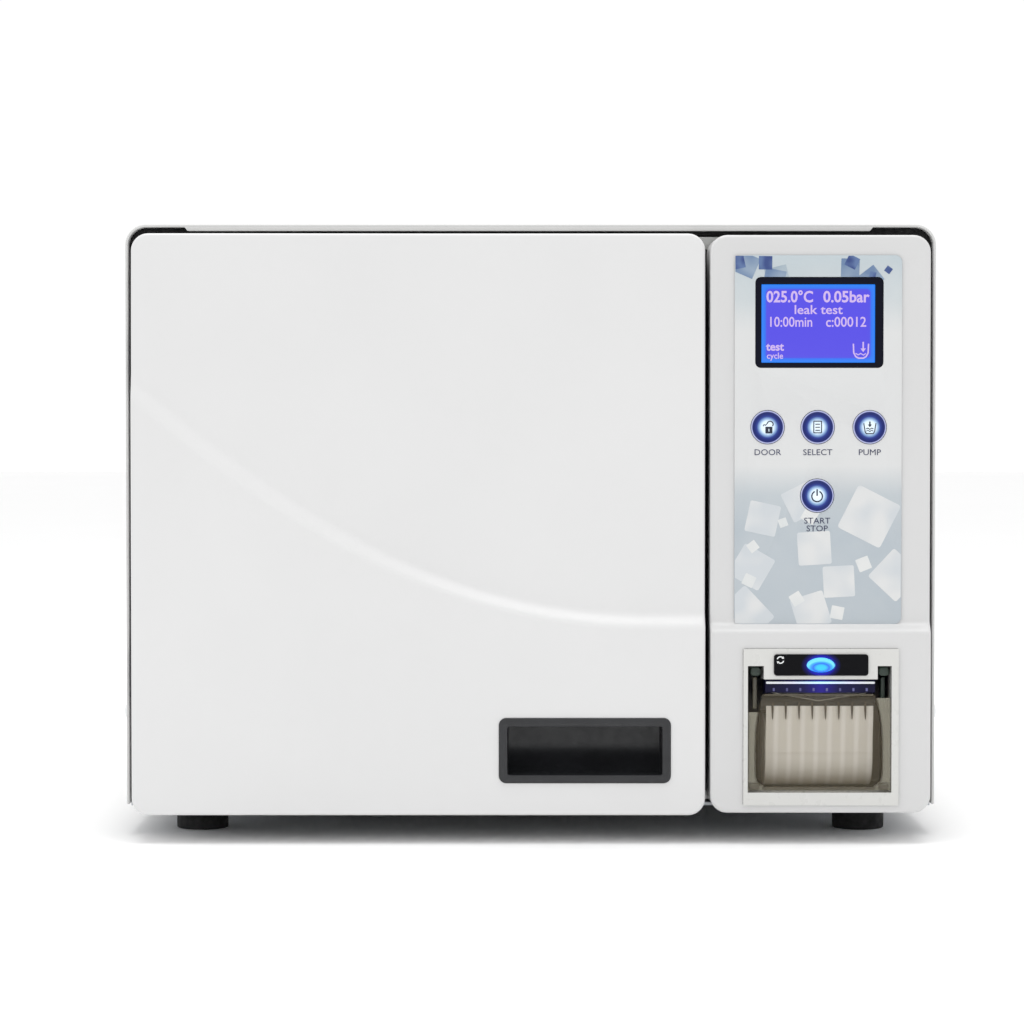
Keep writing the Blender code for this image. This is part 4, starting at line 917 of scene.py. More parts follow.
def film_surface():
    """Film colour: tinted at both ends, white between them."""
    low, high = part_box("keypad_overlay")
    surface = Surface("film_print", srgb(207, 208, 207), 0.4)
    up = surface.along("Z", low.z, high.z)
    color = surface.ramp(up, [
        (0.0, srgb(168, 177, 184)), (0.26, srgb(164, 174, 182)), (0.35, srgb(176, 184, 189)),
        (0.43, srgb(206, 207, 207)), (0.79, srgb(206, 207, 207)), (0.88, srgb(184, 193, 196)),
        (1.0, srgb(174, 186, 192))])
    cloud = surface.node("ShaderNodeMix", data_type="RGBA")
    surface.link(surface.noise(55, 2.0), cloud.inputs["Factor"])
    surface.link(color, cloud.inputs["A"])
    surface.link(surface.ramp(up, [
        (0.0, srgb(176, 183, 188)), (0.35, srgb(182, 188, 192)), (0.43, srgb(207, 208, 208)),
        (0.79, srgb(207, 208, 208)), (1.0, srgb(184, 193, 197))]), cloud.inputs["B"])
    surface.link(cloud.outputs["Result"], surface.shader.inputs["Base Color"])
    return surface.uneven(300, 0.34, 0.46).grain(2600, 0.05, 0.00004).done()


def square_ink(name, dark, light, scale=70):
    """Printing ink that drifts softly between two tones."""
    surface = Surface(name, dark, 0.4)
    color = surface.ramp(surface.noise(scale, 1.0), [(0.38, dark), (0.62, light)])
    surface.link(color, surface.shader.inputs["Base Color"])
    return surface.grain(2600, 0.05, 0.00004).done()


def build_overlay():
    """Printed film with its squares and captions."""
    film, front, back = face_of("keypad_overlay")
    display = DISPLAY
    outlines = [rounded(*film, 0.0037), rounded(*grown(display, 0.0002), 0.0030)]
    for x, z in KEYS.values():
        outlines.append(circle(x, z, KEY_HOLE))
    sheet = prism("keypad_film", outlines, front, back, bevel=0.00012, segments=2)
    dress(sheet, film_surface(), "cabinet", "overlay_film", "keypad_overlay")
    inks = {
        "print_white": (SQUARES["white"],
                        square_ink("ink_white", srgb(208, 209, 209), srgb(193, 198, 202), 55)),
        "print_bright": (SQUARES["bright"],
                         square_ink("ink_bright", srgb(212, 213, 212), srgb(205, 208, 208))),
        "print_pale": (SQUARES["pale"], square_ink("ink_pale", srgb(148, 164, 176), srgb(172, 183, 190))),
        "print_mid": (SQUARES["mid"], square_ink("ink_mid", srgb(98, 122, 156), srgb(140, 157, 176))),
        "print_navy": (SQUARES["navy"], square_ink("ink_navy", srgb(42, 64, 122), srgb(84, 108, 152), 160)),
    }
    box = grown(film, -0.0003)
    near, far = front - 0.002, front + 0.002
    window = rounded(*grown(display, 0.0002), 0.0030)
    for level, (name, (places, ink)) in enumerate(inks.items()):
        corner = 0.06 if name in ("print_white", "print_bright") else 0.02
        for index, (across, up, side, tilt) in enumerate(places):
            outline = square(film[0] + across * MILLIMETRE, film[1] + up * MILLIMETRE,
                             side * MILLIMETRE, tilt, corner)
            outline = clipped(outline, box)
            tile = prism(f"{name}_{index}", [outline], front - 0.00003 - 0.00001 * level - 0.000002 * index,
                         front + 0.0001)
            tools = []
            for key, (x, z) in KEYS.items():
                if any(math.dist(point, (x, z)) < 0.0095 + side * MILLIMETRE for point in outline):
                    tools.append(prism("hole", [circle(x, z, KEY_HOLE)], near, far))
            if outline[0][1] > display[1] - 0.02:
                tools.append(prism("hole", [window], near, far))
            if tools:
                carve(tile, tools)
            if len(tile.data.polygons) == 0:
                bpy.data.objects.remove(tile, do_unlink=True)
                continue
            dress(tile, ink, "cabinet", "overlay_film")
    ink = square_ink("ink_caption", srgb(34, 40, 72), srgb(52, 58, 88))
    for key, lines in CAPTIONS.items():
        x, z = KEYS[key]
        for row, text in enumerate(lines):
            lettering(f"caption_{key}_{row}", text, x, z - 0.01335 - 0.0041 * row, 0.0031, front - 0.00006,
                      ink, "cabinet", "overlay_film", width=1.08)


KEYS = {}
for key_name in ("key_door", "key_select", "key_pump", "key_start"):
    key_low, key_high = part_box(key_name)
    KEYS[key_name] = ((key_low.x + key_high.x) / 2, (key_low.z + key_high.z) / 2)
CAPTIONS = {"key_door": ["DOOR"], "key_select": ["SELECT"], "key_pump": ["PUMP"],
            "key_start": ["START", "STOP"]}
KEY_BODIES = {"key_door": "door_button", "key_select": "select_button", "key_pump": "pump_button",
              "key_start": "start_button"}
DISPLAY = (FILM_BOUNDS[0] + 0.0110, 0.2511, FILM_BOUNDS[2] - 0.0099, 0.2986)


def key_surface(name, x, z):
    """Key colour by radius: white centre with a painted glow, navy ring, lilac rim."""
    surface = Surface(f"{name}_print", srgb(35, 50, 130), 0.28)
    span = surface.node("ShaderNodeMapRange")
    span.inputs["From Max"].default_value = 0.0090
    surface.link(surface.distance(x, z), span.inputs["Value"])
    color = surface.ramp(span.outputs["Result"], [
        (0.0, srgb(222, 232, 238)), (0.36, srgb(206, 222, 234)), (0.50, srgb(130, 162, 202)),
        (0.62, srgb(44, 62, 140)), (0.74, srgb(22, 36, 108)), (0.885, srgb(20, 32, 96)),
        (0.905, srgb(150, 156, 206)), (0.95, srgb(186, 190, 220))])
    surface.link(color, surface.shader.inputs["Base Color"])
    # Emission on the key's white centre, though the key holds no lamp: painted glow.
    lit = surface.ramp(span.outputs["Result"], [
        (0.0, (0.55, 0.66, 0.72, 1.0)), (0.36, (0.36, 0.48, 0.60, 1.0)), (0.54, (0.02, 0.03, 0.08, 1.0)),
        (0.66, (0.0, 0.0, 0.0, 1.0))])
    surface.link(lit, surface.shader.inputs["Emission Color"])
    surface.set("Emission Strength", 0.28)
    surface.set("Specular IOR Level", 0.25)
    return surface.grain(2000, 0.04, 0.00004).done()


def stroke(points, width):
    """Outline of a straight-jointed line of a given width."""
    left, right = [], []
    for index, point in enumerate(points):
        here = Vector(point)
        ways = []
        if index > 0:
            ways.append((here - Vector(points[index - 1])).normalized())
        if index < len(points) - 1:
            ways.append((Vector(points[index + 1]) - here).normalized())
        way = sum(ways, Vector((0, 0))).normalized()
        side = Vector((-way.y, way.x)) * (width / 2)
        if len(ways) == 2:
            side /= max(0.5, math.cos(ways[0].angle(ways[1]) / 2))
        left.append(tuple(here + side))
        right.append(tuple(here - side))
    return left + right[::-1]


def icon_shapes(key):
    """Icon outlines about the key's centre, in millimetres."""
    if key == "key_door":
        return [[rounded(-1.15, -3.3, 2.55, 0.25, 0.35, 3), rounded(0.45, -2.35, 0.95, -0.85, 0.2, 2)],
                [arc_band(1.35, 1.55, 1.30, 1.85, -40, 165, 14)],
                [stroke([(-0.1, 2.0), (-1.1, 1.0), (-1.9, 1.35), (-2.4, 0.55)], 0.42)]]
    if key == "key_select":
        page = rounded(-2.3, -3.2, 2.3, 3.4, 0.4, 2)
        lines = [[rounded(-1.2, level, 1.2, level + 0.5, 0.1, 1)] for level in (-1.9, -0.3, 1.3)]
        return [[page, rounded(-1.8, -2.7, 1.8, 2.9, 0.2, 2)], *lines]
    if key == "key_pump":
        tub = [(-3.1, 2.1), (-2.4, -2.3), (-1.7, -3.4), (1.9, -3.4), (2.6, -2.3), (3.3, 2.1)]
        return [[stroke(tub, 0.5)],
                [stroke([(0.1, 3.0), (0.1, 1.2)], 0.75)],
                [[(-0.95, 1.4), (1.15, 1.4), (0.1, 0.0)]],
                [stroke([(-1.9, -0.9), (-0.9, -0.45), (0.1, -1.15), (1.1, -0.45), (2.0, -0.9)], 0.42)],
                [stroke([(-1.8, -2.1), (-0.9, -1.6), (0.1, -2.3), (1.1, -1.6), (1.9, -2.1)], 0.36)]]
    return [[arc_band(0.0, -0.35, 2.45, 3.15, -245, 65, 30)], [rounded(-0.38, -0.1, 0.38, 3.4, 0.2, 2)]]


def build_keys():
    """Round keys, each with a painted glow on its centre, a navy ring, a raised lilac rim and an icon."""
    ink = square_ink("ink_icon", srgb(16, 24, 44), srgb(34, 44, 66))
    for key, (x, z) in KEYS.items():
        low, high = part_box(key)
        front = -low.y
        radius = 0.00875
        profile = [(0.0, front - 0.00045), (0.0040, front - 0.00045), (0.0058, front - 0.00050),
                   (0.0070, front - 0.00038), (0.0078, front - 0.00020), (0.0081, front - 0.00002),
                   (0.0083, front), (0.0086, front - 0.00008), (radius, front - 0.0005),
                   (radius, -high.y + 0.0012), (high.x - x, -high.y + 0.0012), (high.x - x, -high.y),
                   (0.0, -high.y)]
        body = turned(f"button_{key}", profile, (x, 0, z), "XZ", 96)
        dress(body, key_surface(key, x, z), KEY_BODIES[key], "key_navy", key)
        shapes = [[moved(outline, x, z, MILLIMETRE) for outline in group] for group in icon_shapes(key)]
        stamp(f"icon_{key}", shapes, low.y + 0.00040, ink, KEY_BODIES[key], "key_navy")


def build_display():
    """Display: black bezel, azure border, violet screen and generic readings."""
    left, low, right, high = DISPLAY
    node_low, node_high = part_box("display_module")
    front = node_low.y
    bezel_black = (Surface("bezel_black", srgb(3, 5, 24), 0.3).mottle(40, 0.2).uneven(200, 0.26, 0.4)
                   .set("Specular IOR Level", 0.12).done())
    inner = (left + 0.0031, low + 0.0026, right - 0.0042, high - 0.0037)
    body = prism("display_bezel", [rounded(*DISPLAY, 0.0031), rounded(*inner, 0.0003, 2)],
                 front, front + 0.0030, bevel=0.00015, segments=2)
    dress(body, bezel_black, "cabinet", "display_glass")
    back = prism("display_back", [rect(left - 0.0040, low - 0.0040, right + 0.0040, high + 0.0040)],
                 front + 0.0034, node_high.y, bevel=0.0006)
    dress(back, BLACK, "cabinet", "display_glass", "display_module")

    screen = Surface("screen_light", srgb(70, 60, 225), 0.25)
    shift = screen.node("ShaderNodeSeparateXYZ")
    screen.link(screen.place, shift.inputs["Vector"])
    edges = []
    for axis, first, last in (("X", inner[0], inner[2]), ("Z", inner[1], inner[3])):
        for start, end in ((first, first + 0.0046), (last, last - 0.0046)):
            span = screen.node("ShaderNodeMapRange")
            span.interpolation_type = "SMOOTHSTEP"
            span.inputs["From Min"].default_value = start
            span.inputs["From Max"].default_value = end
            screen.link(shift.outputs[axis], span.inputs["Value"])
            edges.append(span.outputs["Result"])
    total = edges[0]
    for other in edges[1:]:
        product = screen.node("ShaderNodeMath", operation="MULTIPLY")
        screen.link(total, product.inputs[0])
        screen.link(other, product.inputs[1])
        total = product.outputs["Value"]
    color = screen.ramp(total, [(0.0, srgb(0, 128, 250)), (0.45, srgb(10, 108, 246)),
                                (0.62, srgb(72, 70, 232)), (1.0, srgb(76, 64, 232))])
    screen.link(color, screen.shader.inputs["Emission Color"])
    screen.set("Base Color", (0.01, 0.01, 0.03, 1.0))
    screen.set("Emission Strength", 0.93)
    screen.grain(2400, 0.03, 0.00003)
    plate = prism("display_screen", [rect(*grown(inner, 0.0002))],
                  front + 0.0009, front + 0.0026, bevel=0.0001)
    dress(plate, screen.done(), "cabinet", "display_glass")

    lit = glow("screen_text", srgb(232, 205, 240), 0.72, srgb(60, 50, 120))
    level = front + 0.00084
    wide = inner[2] - inner[0]
    tall = inner[3] - inner[1]

    def place(across, up):
        return inner[0] + across * wide, inner[1] + up * tall

    rows = [("readout_temperature", "025.0\u00b0C", 0.25, 0.835, 0.0058, 0.90, 0.00020),
            ("readout_pressure", "0.05bar", 0.745, 0.835, 0.0058, 0.96, 0.00020),
            ("readout_program", "leak test", 0.50, 0.672, 0.0047, 1.12, 0.00008),
            ("readout_time", "10:00min", 0.255, 0.515, 0.0052, 0.86, 0.00008),
            ("readout_count", "c:00012", 0.745, 0.515, 0.0052, 0.92, 0.00008),
            ("readout_step", "test", 0.120, 0.200, 0.0042, 1.0, 0.00016),
            ("readout_cycle", "cycle", 0.120, 0.085, 0.0032, 0.95, 0.00006)]
    for name, text, across, up, height, width, weight in rows:
        x, z = place(across, up)
        lettering(name, text, x, z, height, level, lit, "cabinet", "display_glass", width, weight)
    x, z = place(0.875, 0.155)
    tub = [[stroke([(-3.9, 3.6), (-3.7, -1.2), (-2.6, -3.2), (-1.2, -4.0), (1.4, -4.0), (2.8, -3.2),
                    (3.9, -1.2), (4.1, 3.6)], 0.75)],
           [stroke([(1.3, 4.6), (1.3, 0.8)], 0.8)], [[(-0.1, 1.1), (2.7, 1.1), (1.3, -0.8)]],
           [stroke([(-2.7, -1.4), (-1.4, -2.3), (0.0, -1.5), (1.4, -2.4), (2.7, -1.5)], 0.5)]]
    stamp("readout_icon", [[moved(outline, x, z, MILLIMETRE) for outline in group] for group in tub],
          level, lit, "cabinet", "display_glass")


# ------------------------------------------------------------------ printer

def smoked(name, alpha, tint):
    """Translucent smoked plastic."""
    surface = Surface(name, tint, 0.12)
    surface.mottle(30, 0.06).uneven(160, 0.08, 0.16)
    surface.set("Alpha", alpha)
    surface.set("Specular IOR Level", 0.35)
    return surface.done()


def cover_bulge(share):
    """Forward bulge of the cover, from its hinge (0) to its top edge (1)."""
    return math.sin(math.pi * min(1.0, max(0.0, share))) ** 0.75


def build_cover(node, front):
    """Smoked cover: flat flanges, a ribbed bulge with rounded lower corners, hinge knuckles and cheeks."""
    low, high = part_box(node)
    back = front + 0.0054
    flat = back - 0.0014
    bulge_left, bulge_right = 0.1182, 0.1853
    bottom, top = 0.0300, 0.0788
    wing_tops = (0.0695, 0.0770)
    clear = smoked("cover_smoke", 0.13, srgb(128, 118, 98))
    matt = smoked("cover_flange", 0.50, srgb(158, 154, 138))
    # Darker, denser copy of the smoke for the edge lines, knuckles, sill and lip: painted shade.
    shade = smoked("cover_edge_painted_shade", 0.60, srgb(98, 92, 78))

    columns = 56
    rows = 44

    def side_line(share):
        """How far the bulge draws in from its widest line, low down wide and narrower to the top."""
        lower = max(0.0, (0.16 - share) / 0.16)
        upper = max(0.0, (share - 0.42) / 0.58)
        return 0.0052 * (1 - math.sqrt(max(0.0, 1 - lower ** 2))) + 0.0038 * upper ** 2.2

    def outer_y(across, share):
        edge = min(across, 1 - across)
        shoulder = min(1.0, edge / 0.075)
        side = math.sqrt(max(0.0, 1 - (1 - shoulder) ** 2))
        rib = 0.0
        if share > 0.20:
            phase = ((across - 0.14) * 9.62) % 1.0
            rib = -0.00028 * math.exp(-((phase - 0.5) / 0.14) ** 2) * smoothstep((share - 0.20) / 0.5)
        return flat - (flat - front) * cover_bulge(0.04 + 0.96 * share) * side * 0.96 - rib

    bm = bmesh.new()
    grids = []
    for skin in (0, 1):
        grid = []
        for r in range(rows + 1):
            share = r / rows
            z = bottom + share * (top - bottom)
            inset = side_line(share)
            line = []
            for c in range(columns + 1):
                across = c / columns
                x = bulge_left + inset + across * (bulge_right - bulge_left - 2 * inset)
                line.append(bm.verts.new((x, outer_y(across, share) + 0.0011 * skin, z)))
            grid.append(line)
        grids.append(grid)
    for skin, grid in enumerate(grids):
        for r in range(rows):
            for c in range(columns):
                face = [grid[r][c], grid[r][c + 1], grid[r + 1][c + 1], grid[r + 1][c]]
                bm.faces.new(face if skin == 0 else face[::-1])
    outer, inner = grids
    ring = ([(0, c) for c in range(columns)] + [(r, columns) for r in range(rows)]
            + [(rows, c) for c in range(columns, 0, -1)] + [(r, 0) for r in range(rows, 0, -1)])
    for index, (r, c) in enumerate(ring):
        nr, nc = ring[(index + 1) % len(ring)]
        bm.faces.new((outer[nr][nc], outer[r][c], inner[r][c], inner[nr][nc]))
    shell = from_bmesh("cover_bulge", bm, 40)
    dress(shell, clear, "printer_lid", "smoked_plastic", node)

    sides = (("left", low.x, bulge_left, 1), ("right", high.x, bulge_right, -1))
    for side, wing, edge, sign in sides:
        tall = wing_tops[0 if side == "left" else 1]
        points = [(wing, low.z + 0.0004)]
        points.append((edge + sign * 0.0060, low.z + 0.0004))
        for step in range(14):
            share = step / 13
            z = bottom + share * (tall - bottom)
            points.append((edge + sign * (side_line((z - bottom) / (top - bottom)) - 0.0002), z))
        points.append((wing, tall))
        flange = prism(f"cover_flange_{side}", [points], flat, back - 0.0001, bevel=0.0002)
        dress(flange, matt, "printer_lid", "smoked_plastic")
        line = []
        for step in range(25):
            share = step / 24
            z = bottom + share * (tall - bottom)
            line.append((edge + sign * side_line((z - bottom) / (top - bottom)), z))
        # Dark line along the edge of the bulge: painted shade.
        rim = prism(f"cover_shade_line_{side}", [stroke(line, 0.0007)], flat - 0.0003, flat + 0.0002, bevel=0.0001)
        dress(rim, shade, "printer_lid", "smoked_plastic")
        barrel = [(0.0, 0.0), (0.0016, 0.0), (0.0021, 0.0004), (0.0021, 0.0046), (0.0016, 0.0050),
                  (0.0, 0.0050)]
        knuckle = turned(f"cover_knuckle_{side}", barrel, (0, 0, 0), segments=32)
        start = edge - (0.0030 if side == "left" else 0.0020)
        knuckle.data.transform(Matrix.Translation((start, flat + 0.0005, 0.0302))
                               @ Matrix.Rotation(HALF_PI, 4, "Y"))
        dress(knuckle, shade, "printer_lid", "smoked_plastic")
    sill_shape = rounded(bulge_left + 0.004, low.z + 0.0004, bulge_right - 0.004, bottom + 0.0001, 0.0006)
    sill = prism("cover_sill", [sill_shape], flat - 0.0010, back - 0.0001, bevel=0.0003)
    dress(sill, shade, "printer_lid", "smoked_plastic")
    lip_shape = rounded(bulge_left + 0.0048, top - 0.0006, bulge_right - 0.0048, top + 0.0004, 0.0004)
    lip = prism("cover_lip", [lip_shape], flat - 0.0004, back - 0.0002, bevel=0.0001)
    dress(lip, shade, "printer_lid", "smoked_plastic")


def build_printer():
    """Panel printer: bay, head with its tear bar, label, lit feed button, smoked cover and paper roll."""
    bay_shading = Surface("bay_plastic_painted_shade", srgb(20, 24, 20), 0.4).uneven(200, 0.34, 0.5)
    # Ramp by height: pale low in the bay and near black at the top under the head: painted light and shade.
    color = bay_shading.ramp(bay_shading.along("Z", 0.066, 0.080), [
        (0.0, srgb(150, 142, 124)), (0.5, srgb(110, 104, 90)), (1.0, srgb(34, 36, 32))])
    bay_shading.link(color, bay_shading.shader.inputs["Base Color"])
    bay_shaded = bay_shading.grain(900, 0.1, 0.0001).done()
    repaint("printer_frame", PRINTER_WHITE, 0.0002)
    _, front, back = face_of("printer_frame")

    bay = (0.1143, 0.0273, 0.1898, 0.0869)
    head_left, head_right, shoulder = 0.1224, 0.1827, 0.0938

    def bay_outline(inset):
        """Bay outline with a notch for the head, drawn in by an inset."""
        left, low, right, step = bay[0] + inset, bay[1] + inset, bay[2] - inset, bay[3] - inset
        return [(left, low), (right, low), (right, shoulder - inset), (head_right + inset, shoulder - inset),
                (head_right + inset, step), (head_left - inset, step), (head_left - inset, shoulder - inset),
                (left, shoulder - inset)]

    outer, inner = bay_outline(0.0), bay_outline(0.0006)
    lining = prism("bay_lining", [outer, inner], front + 0.0110, back - 0.0030)
    dress(lining, bay_shaded, "cabinet", "white_moulding")
    floor = prism("bay_floor", [outer], back - 0.0032, back - 0.0026)
    dress(floor, bay_shaded, "cabinet", "white_moulding")

    label, label_front, label_back = face_of("printer_label")
    button_low, button_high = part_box("feed_button")
    button_x = (button_low.x + button_high.x) / 2
    button_z = (button_low.z + button_high.z) / 2
    half_x = (button_high.x - button_low.x) / 2
    half_z = (button_high.z - button_low.z) / 2

    def oval(scale_x, scale_z, steps=56):
        return [(button_x + scale_x * half_x * math.cos(2 * math.pi * k / steps),
                 button_z + scale_z * half_z * math.sin(2 * math.pi * k / steps)) for k in range(steps)]

    ink = Surface("label_print_painted_glow", srgb(7, 7, 11), 0.5)
    # Blue glow spread onto the black label round the feed button: painted light.
    painted_glow_halo = ink.ramp(ink.distance(button_x, button_z, half_x * 1.9, half_z * 2.6), [
        (0.48, (0.02, 0.02, 0.60, 1.0)), (0.60, (0.01, 0.01, 0.14, 1.0)), (0.76, (0.0, 0.0, 0.0, 1.0))])
    ink.link(painted_glow_halo, ink.shader.inputs["Emission Color"])
    ink.set("Emission Strength", 0.8)
    ink.set("Specular IOR Level", 0.1)
    plate = prism("label_plate", [rounded(*label, 0.0016), oval(1.03, 1.06)],
                  label_front, label_back, bevel=0.00015)
    dress(plate, ink.grain(1500, 0.04, 0.00004).done(), "cabinet", "label_black", "printer_label")
    white = square_ink("ink_symbol", srgb(214, 218, 218), srgb(226, 228, 228))
    cx, cz = label[0] + 0.0034, label[3] - 0.0030
    arrows = []
    for turn in (0, 180):
        arc = arc_band(cx, cz, 0.0014, 0.0020, turn + 55, turn + 165, 12)
        tip = math.radians(turn + 52)
        way = Vector((math.sin(tip), -math.cos(tip)))
        out = Vector((math.cos(tip), math.sin(tip)))
        base = Vector((cx, cz)) + out * 0.0017
        arrows.append([arc])
        arrows.append([[tuple(base + out * 0.0008), tuple(base - out * 0.0008), tuple(base + way * 0.0011)]])
    stamp("label_symbol", arrows, label_front - 0.00002, white, "cabinet", "label_black")

    lit = Surface("button_glow", srgb(30, 90, 220), 0.2)
    color = lit.ramp(lit.distance(button_x, button_z - 0.0012, half_x, half_z), [
        (0.0, srgb(20, 200, 235)), (0.34, srgb(30, 190, 245)), (0.58, srgb(10, 60, 240)),
        (0.80, srgb(60, 170, 250)), (0.93, srgb(120, 225, 250))])
    lit.link(color, lit.shader.inputs["Emission Color"])
    lit.set("Emission Strength", 0.95)
    glow_button = lit.grain(2000, 0.03, 0.00004).done()
    profile = [(0.0, 0.97), (0.5, 1.0), (0.80, 0.93), (0.86, 0.98), (0.93, 1.0), (0.97, 0.90),
               (1.0, 0.70), (1.0, 0.0)]
    bm = bmesh.new()
    rings = []
    deep = button_high.y - 0.0022
    for reach, rise in profile:
        level = deep + rise * (button_low.y - deep)
        if reach == 0.0:
            rings.append([bm.verts.new((button_x, level, button_z))])
            continue
        rings.append([bm.verts.new((x, level, z)) for x, z in oval(reach * 0.985, reach * 0.985)])
    rings.append([bm.verts.new((button_x, deep, button_z))])
    for one, two in zip(rings, rings[1:]):
        count = max(len(one), len(two))
        for k in range(count):
            a, b = one[k % len(one)], one[(k + 1) % len(one)]
            c, d = two[(k + 1) % len(two)], two[k % len(two)]
            bm.faces.new(tuple(dict.fromkeys((a, b, c, d))))
    bmesh.ops.recalc_face_normals(bm, faces=bm.faces)
    button = from_bmesh("button_lens", bm, 40)
    dress(button, glow_button, "paper_feed", "button_blue", "feed_button")

    build_head()
    build_cover("paper_cover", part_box("paper_cover")[0].y)
    repaint("platen_roller", RUBBER_ROLL)
    build_roll()


HEAD_SPAN = (0.128, 0.178)


def build_head():
    """Print head block: bright tear bar and navy comb band, both with a painted sheen, V-shaped deflector and
    latch hooks.
    """
    low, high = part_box("print_head")
    band = Surface("head_band_painted_sheen", srgb(16, 14, 46), 0.5)
    band.set("Specular IOR Level", 0.15)
    unlit = (0.0, 0.0, 0.0, 1.0)
    dim = (0.01, 0.01, 0.06, 1.0)
    # Emission brightest in the middle of the band: painted sheen.
    shine = band.ramp(band.along("X", *HEAD_SPAN), [
        (0.0, unlit), (0.32, dim), (0.5, (0.03, 0.02, 0.34, 1.0)), (0.68, dim), (1.0, unlit)])
    band.link(shine, band.shader.inputs["Emission Color"])
    band.set("Emission Strength", 0.7)
    navy = band.grain(900, 0.08, 0.00008).done()
    repaint("print_head", navy, 0.0003)

    bar = Surface("tear_bar_painted_sheen", srgb(206, 210, 214), 0.22, 0.75)
    grey = (0.12, 0.12, 0.12, 1.0)
    # Blue-white emission across the middle of the bar: painted reflection.
    shine = bar.ramp(bar.along("X", *HEAD_SPAN), [
        (0.0, grey), (0.2, (0.14, 0.14, 0.30, 1.0)), (0.5, (0.04, 0.46, 0.80, 1.0)),
        (0.8, (0.14, 0.14, 0.36, 1.0)), (1.0, grey)])
    bar.link(shine, bar.shader.inputs["Emission Color"])
    bar.set("Emission Strength", 0.7)
    blade = prism("tear_blade", [rounded(low.x + 0.0003, 0.0845, high.x - 0.0003, 0.0858, 0.0005)],
                  low.y - 0.0016, low.y - 0.0001, bevel=0.0003)
    dress(blade, bar.grain(1500, 0.04, 0.00004).done(), "cabinet", "stainless")

    comb = []
    for index in range(8):
        x = 0.1275 + index * 0.0070
        comb.append([rect(x, 0.0806, x + 0.0010, 0.0822)])
    stamp("head_comb", comb, low.y - 0.00005, square_ink("ink_comb", srgb(70, 70, 120), srgb(96, 96, 150)),
          "cabinet", "black_plastic", depth=0.0004)

    dark = (Surface("deflector_plastic", srgb(46, 44, 40), 0.35).mottle(80, 0.15).uneven(200, 0.3, 0.45)
            .grain(900, 0.08, 0.0001).done())
    shape = [(0.1250, 0.0805), (0.1258, 0.0799), (0.1520, 0.0751), (0.1771, 0.0793), (0.1790, 0.0805)]
    hood = prism("paper_deflector", [shape], -0.2405, -0.2370, bevel=0.0003)
    dress(hood, dark, "cabinet", "black_plastic")
    line = stroke([(0.1256, 0.0799), (0.1520, 0.0751), (0.1773, 0.0793)], 0.0005)
    pale = square_ink("deflector_edge", srgb(150, 146, 132), srgb(120, 116, 104))
    edge = prism("deflector_line", [line], -0.2409, -0.2403)
    dress(edge, pale, "cabinet", "black_plastic")

    # Dark tapered fingers in front of the paper, standing for the comb's shadows on it: painted shadow.
    comb_shadow_ink = (Surface("finger_painted_shadow", srgb(62, 52, 42), 0.4).mottle(90, 0.15).uneven(200, 0.35, 0.5)
              .grain(900, 0.06, 0.0001).done())
    for index in range(8):
        x = 0.1276 + index * 0.0070
        shape = [(x - 0.0006, 0.0745), (x + 0.0006, 0.0745), (x + 0.00055, 0.0705), (x + 0.0003, 0.0662),
                 (x, 0.0650), (x - 0.0002, 0.0662), (x - 0.0005, 0.0705)]
        shadow_tooth = prism(f"paper_finger_shadow_{index}", [shape], -0.2424, -0.2418, bevel=0.0001)
        dress(shadow_tooth, comb_shadow_ink, "cabinet", "black_plastic")

    latch = (Surface("latch_green", srgb(34, 50, 40), 0.35).mottle(120, 0.15).uneven(200, 0.3, 0.42)
             .grain(900, 0.06, 0.0001).done())
    plate = (Surface("tower_plastic", srgb(92, 88, 74), 0.3).mottle(60, 0.2).uneven(200, 0.25, 0.4)
             .grain(900, 0.06, 0.0001).done())
    for side, x in (("left", 0.1185), ("right", 0.1862)):
        hook = prism(f"latch_hook_{side}", [rounded(x - 0.0028, 0.0885, x + 0.0028, 0.0932, 0.0018)],
                     -0.2440, -0.2370, bevel=0.0006)
        dress(hook, latch, "cabinet", "black_plastic")
        post = prism(f"latch_post_{side}", [rounded(x - 0.0012, 0.0705, x + 0.0012, 0.0876, 0.0008)],
                     -0.2385, -0.2340, bevel=0.0005)
        dress(post, plate if side == "left" else latch, "cabinet", "black_plastic")


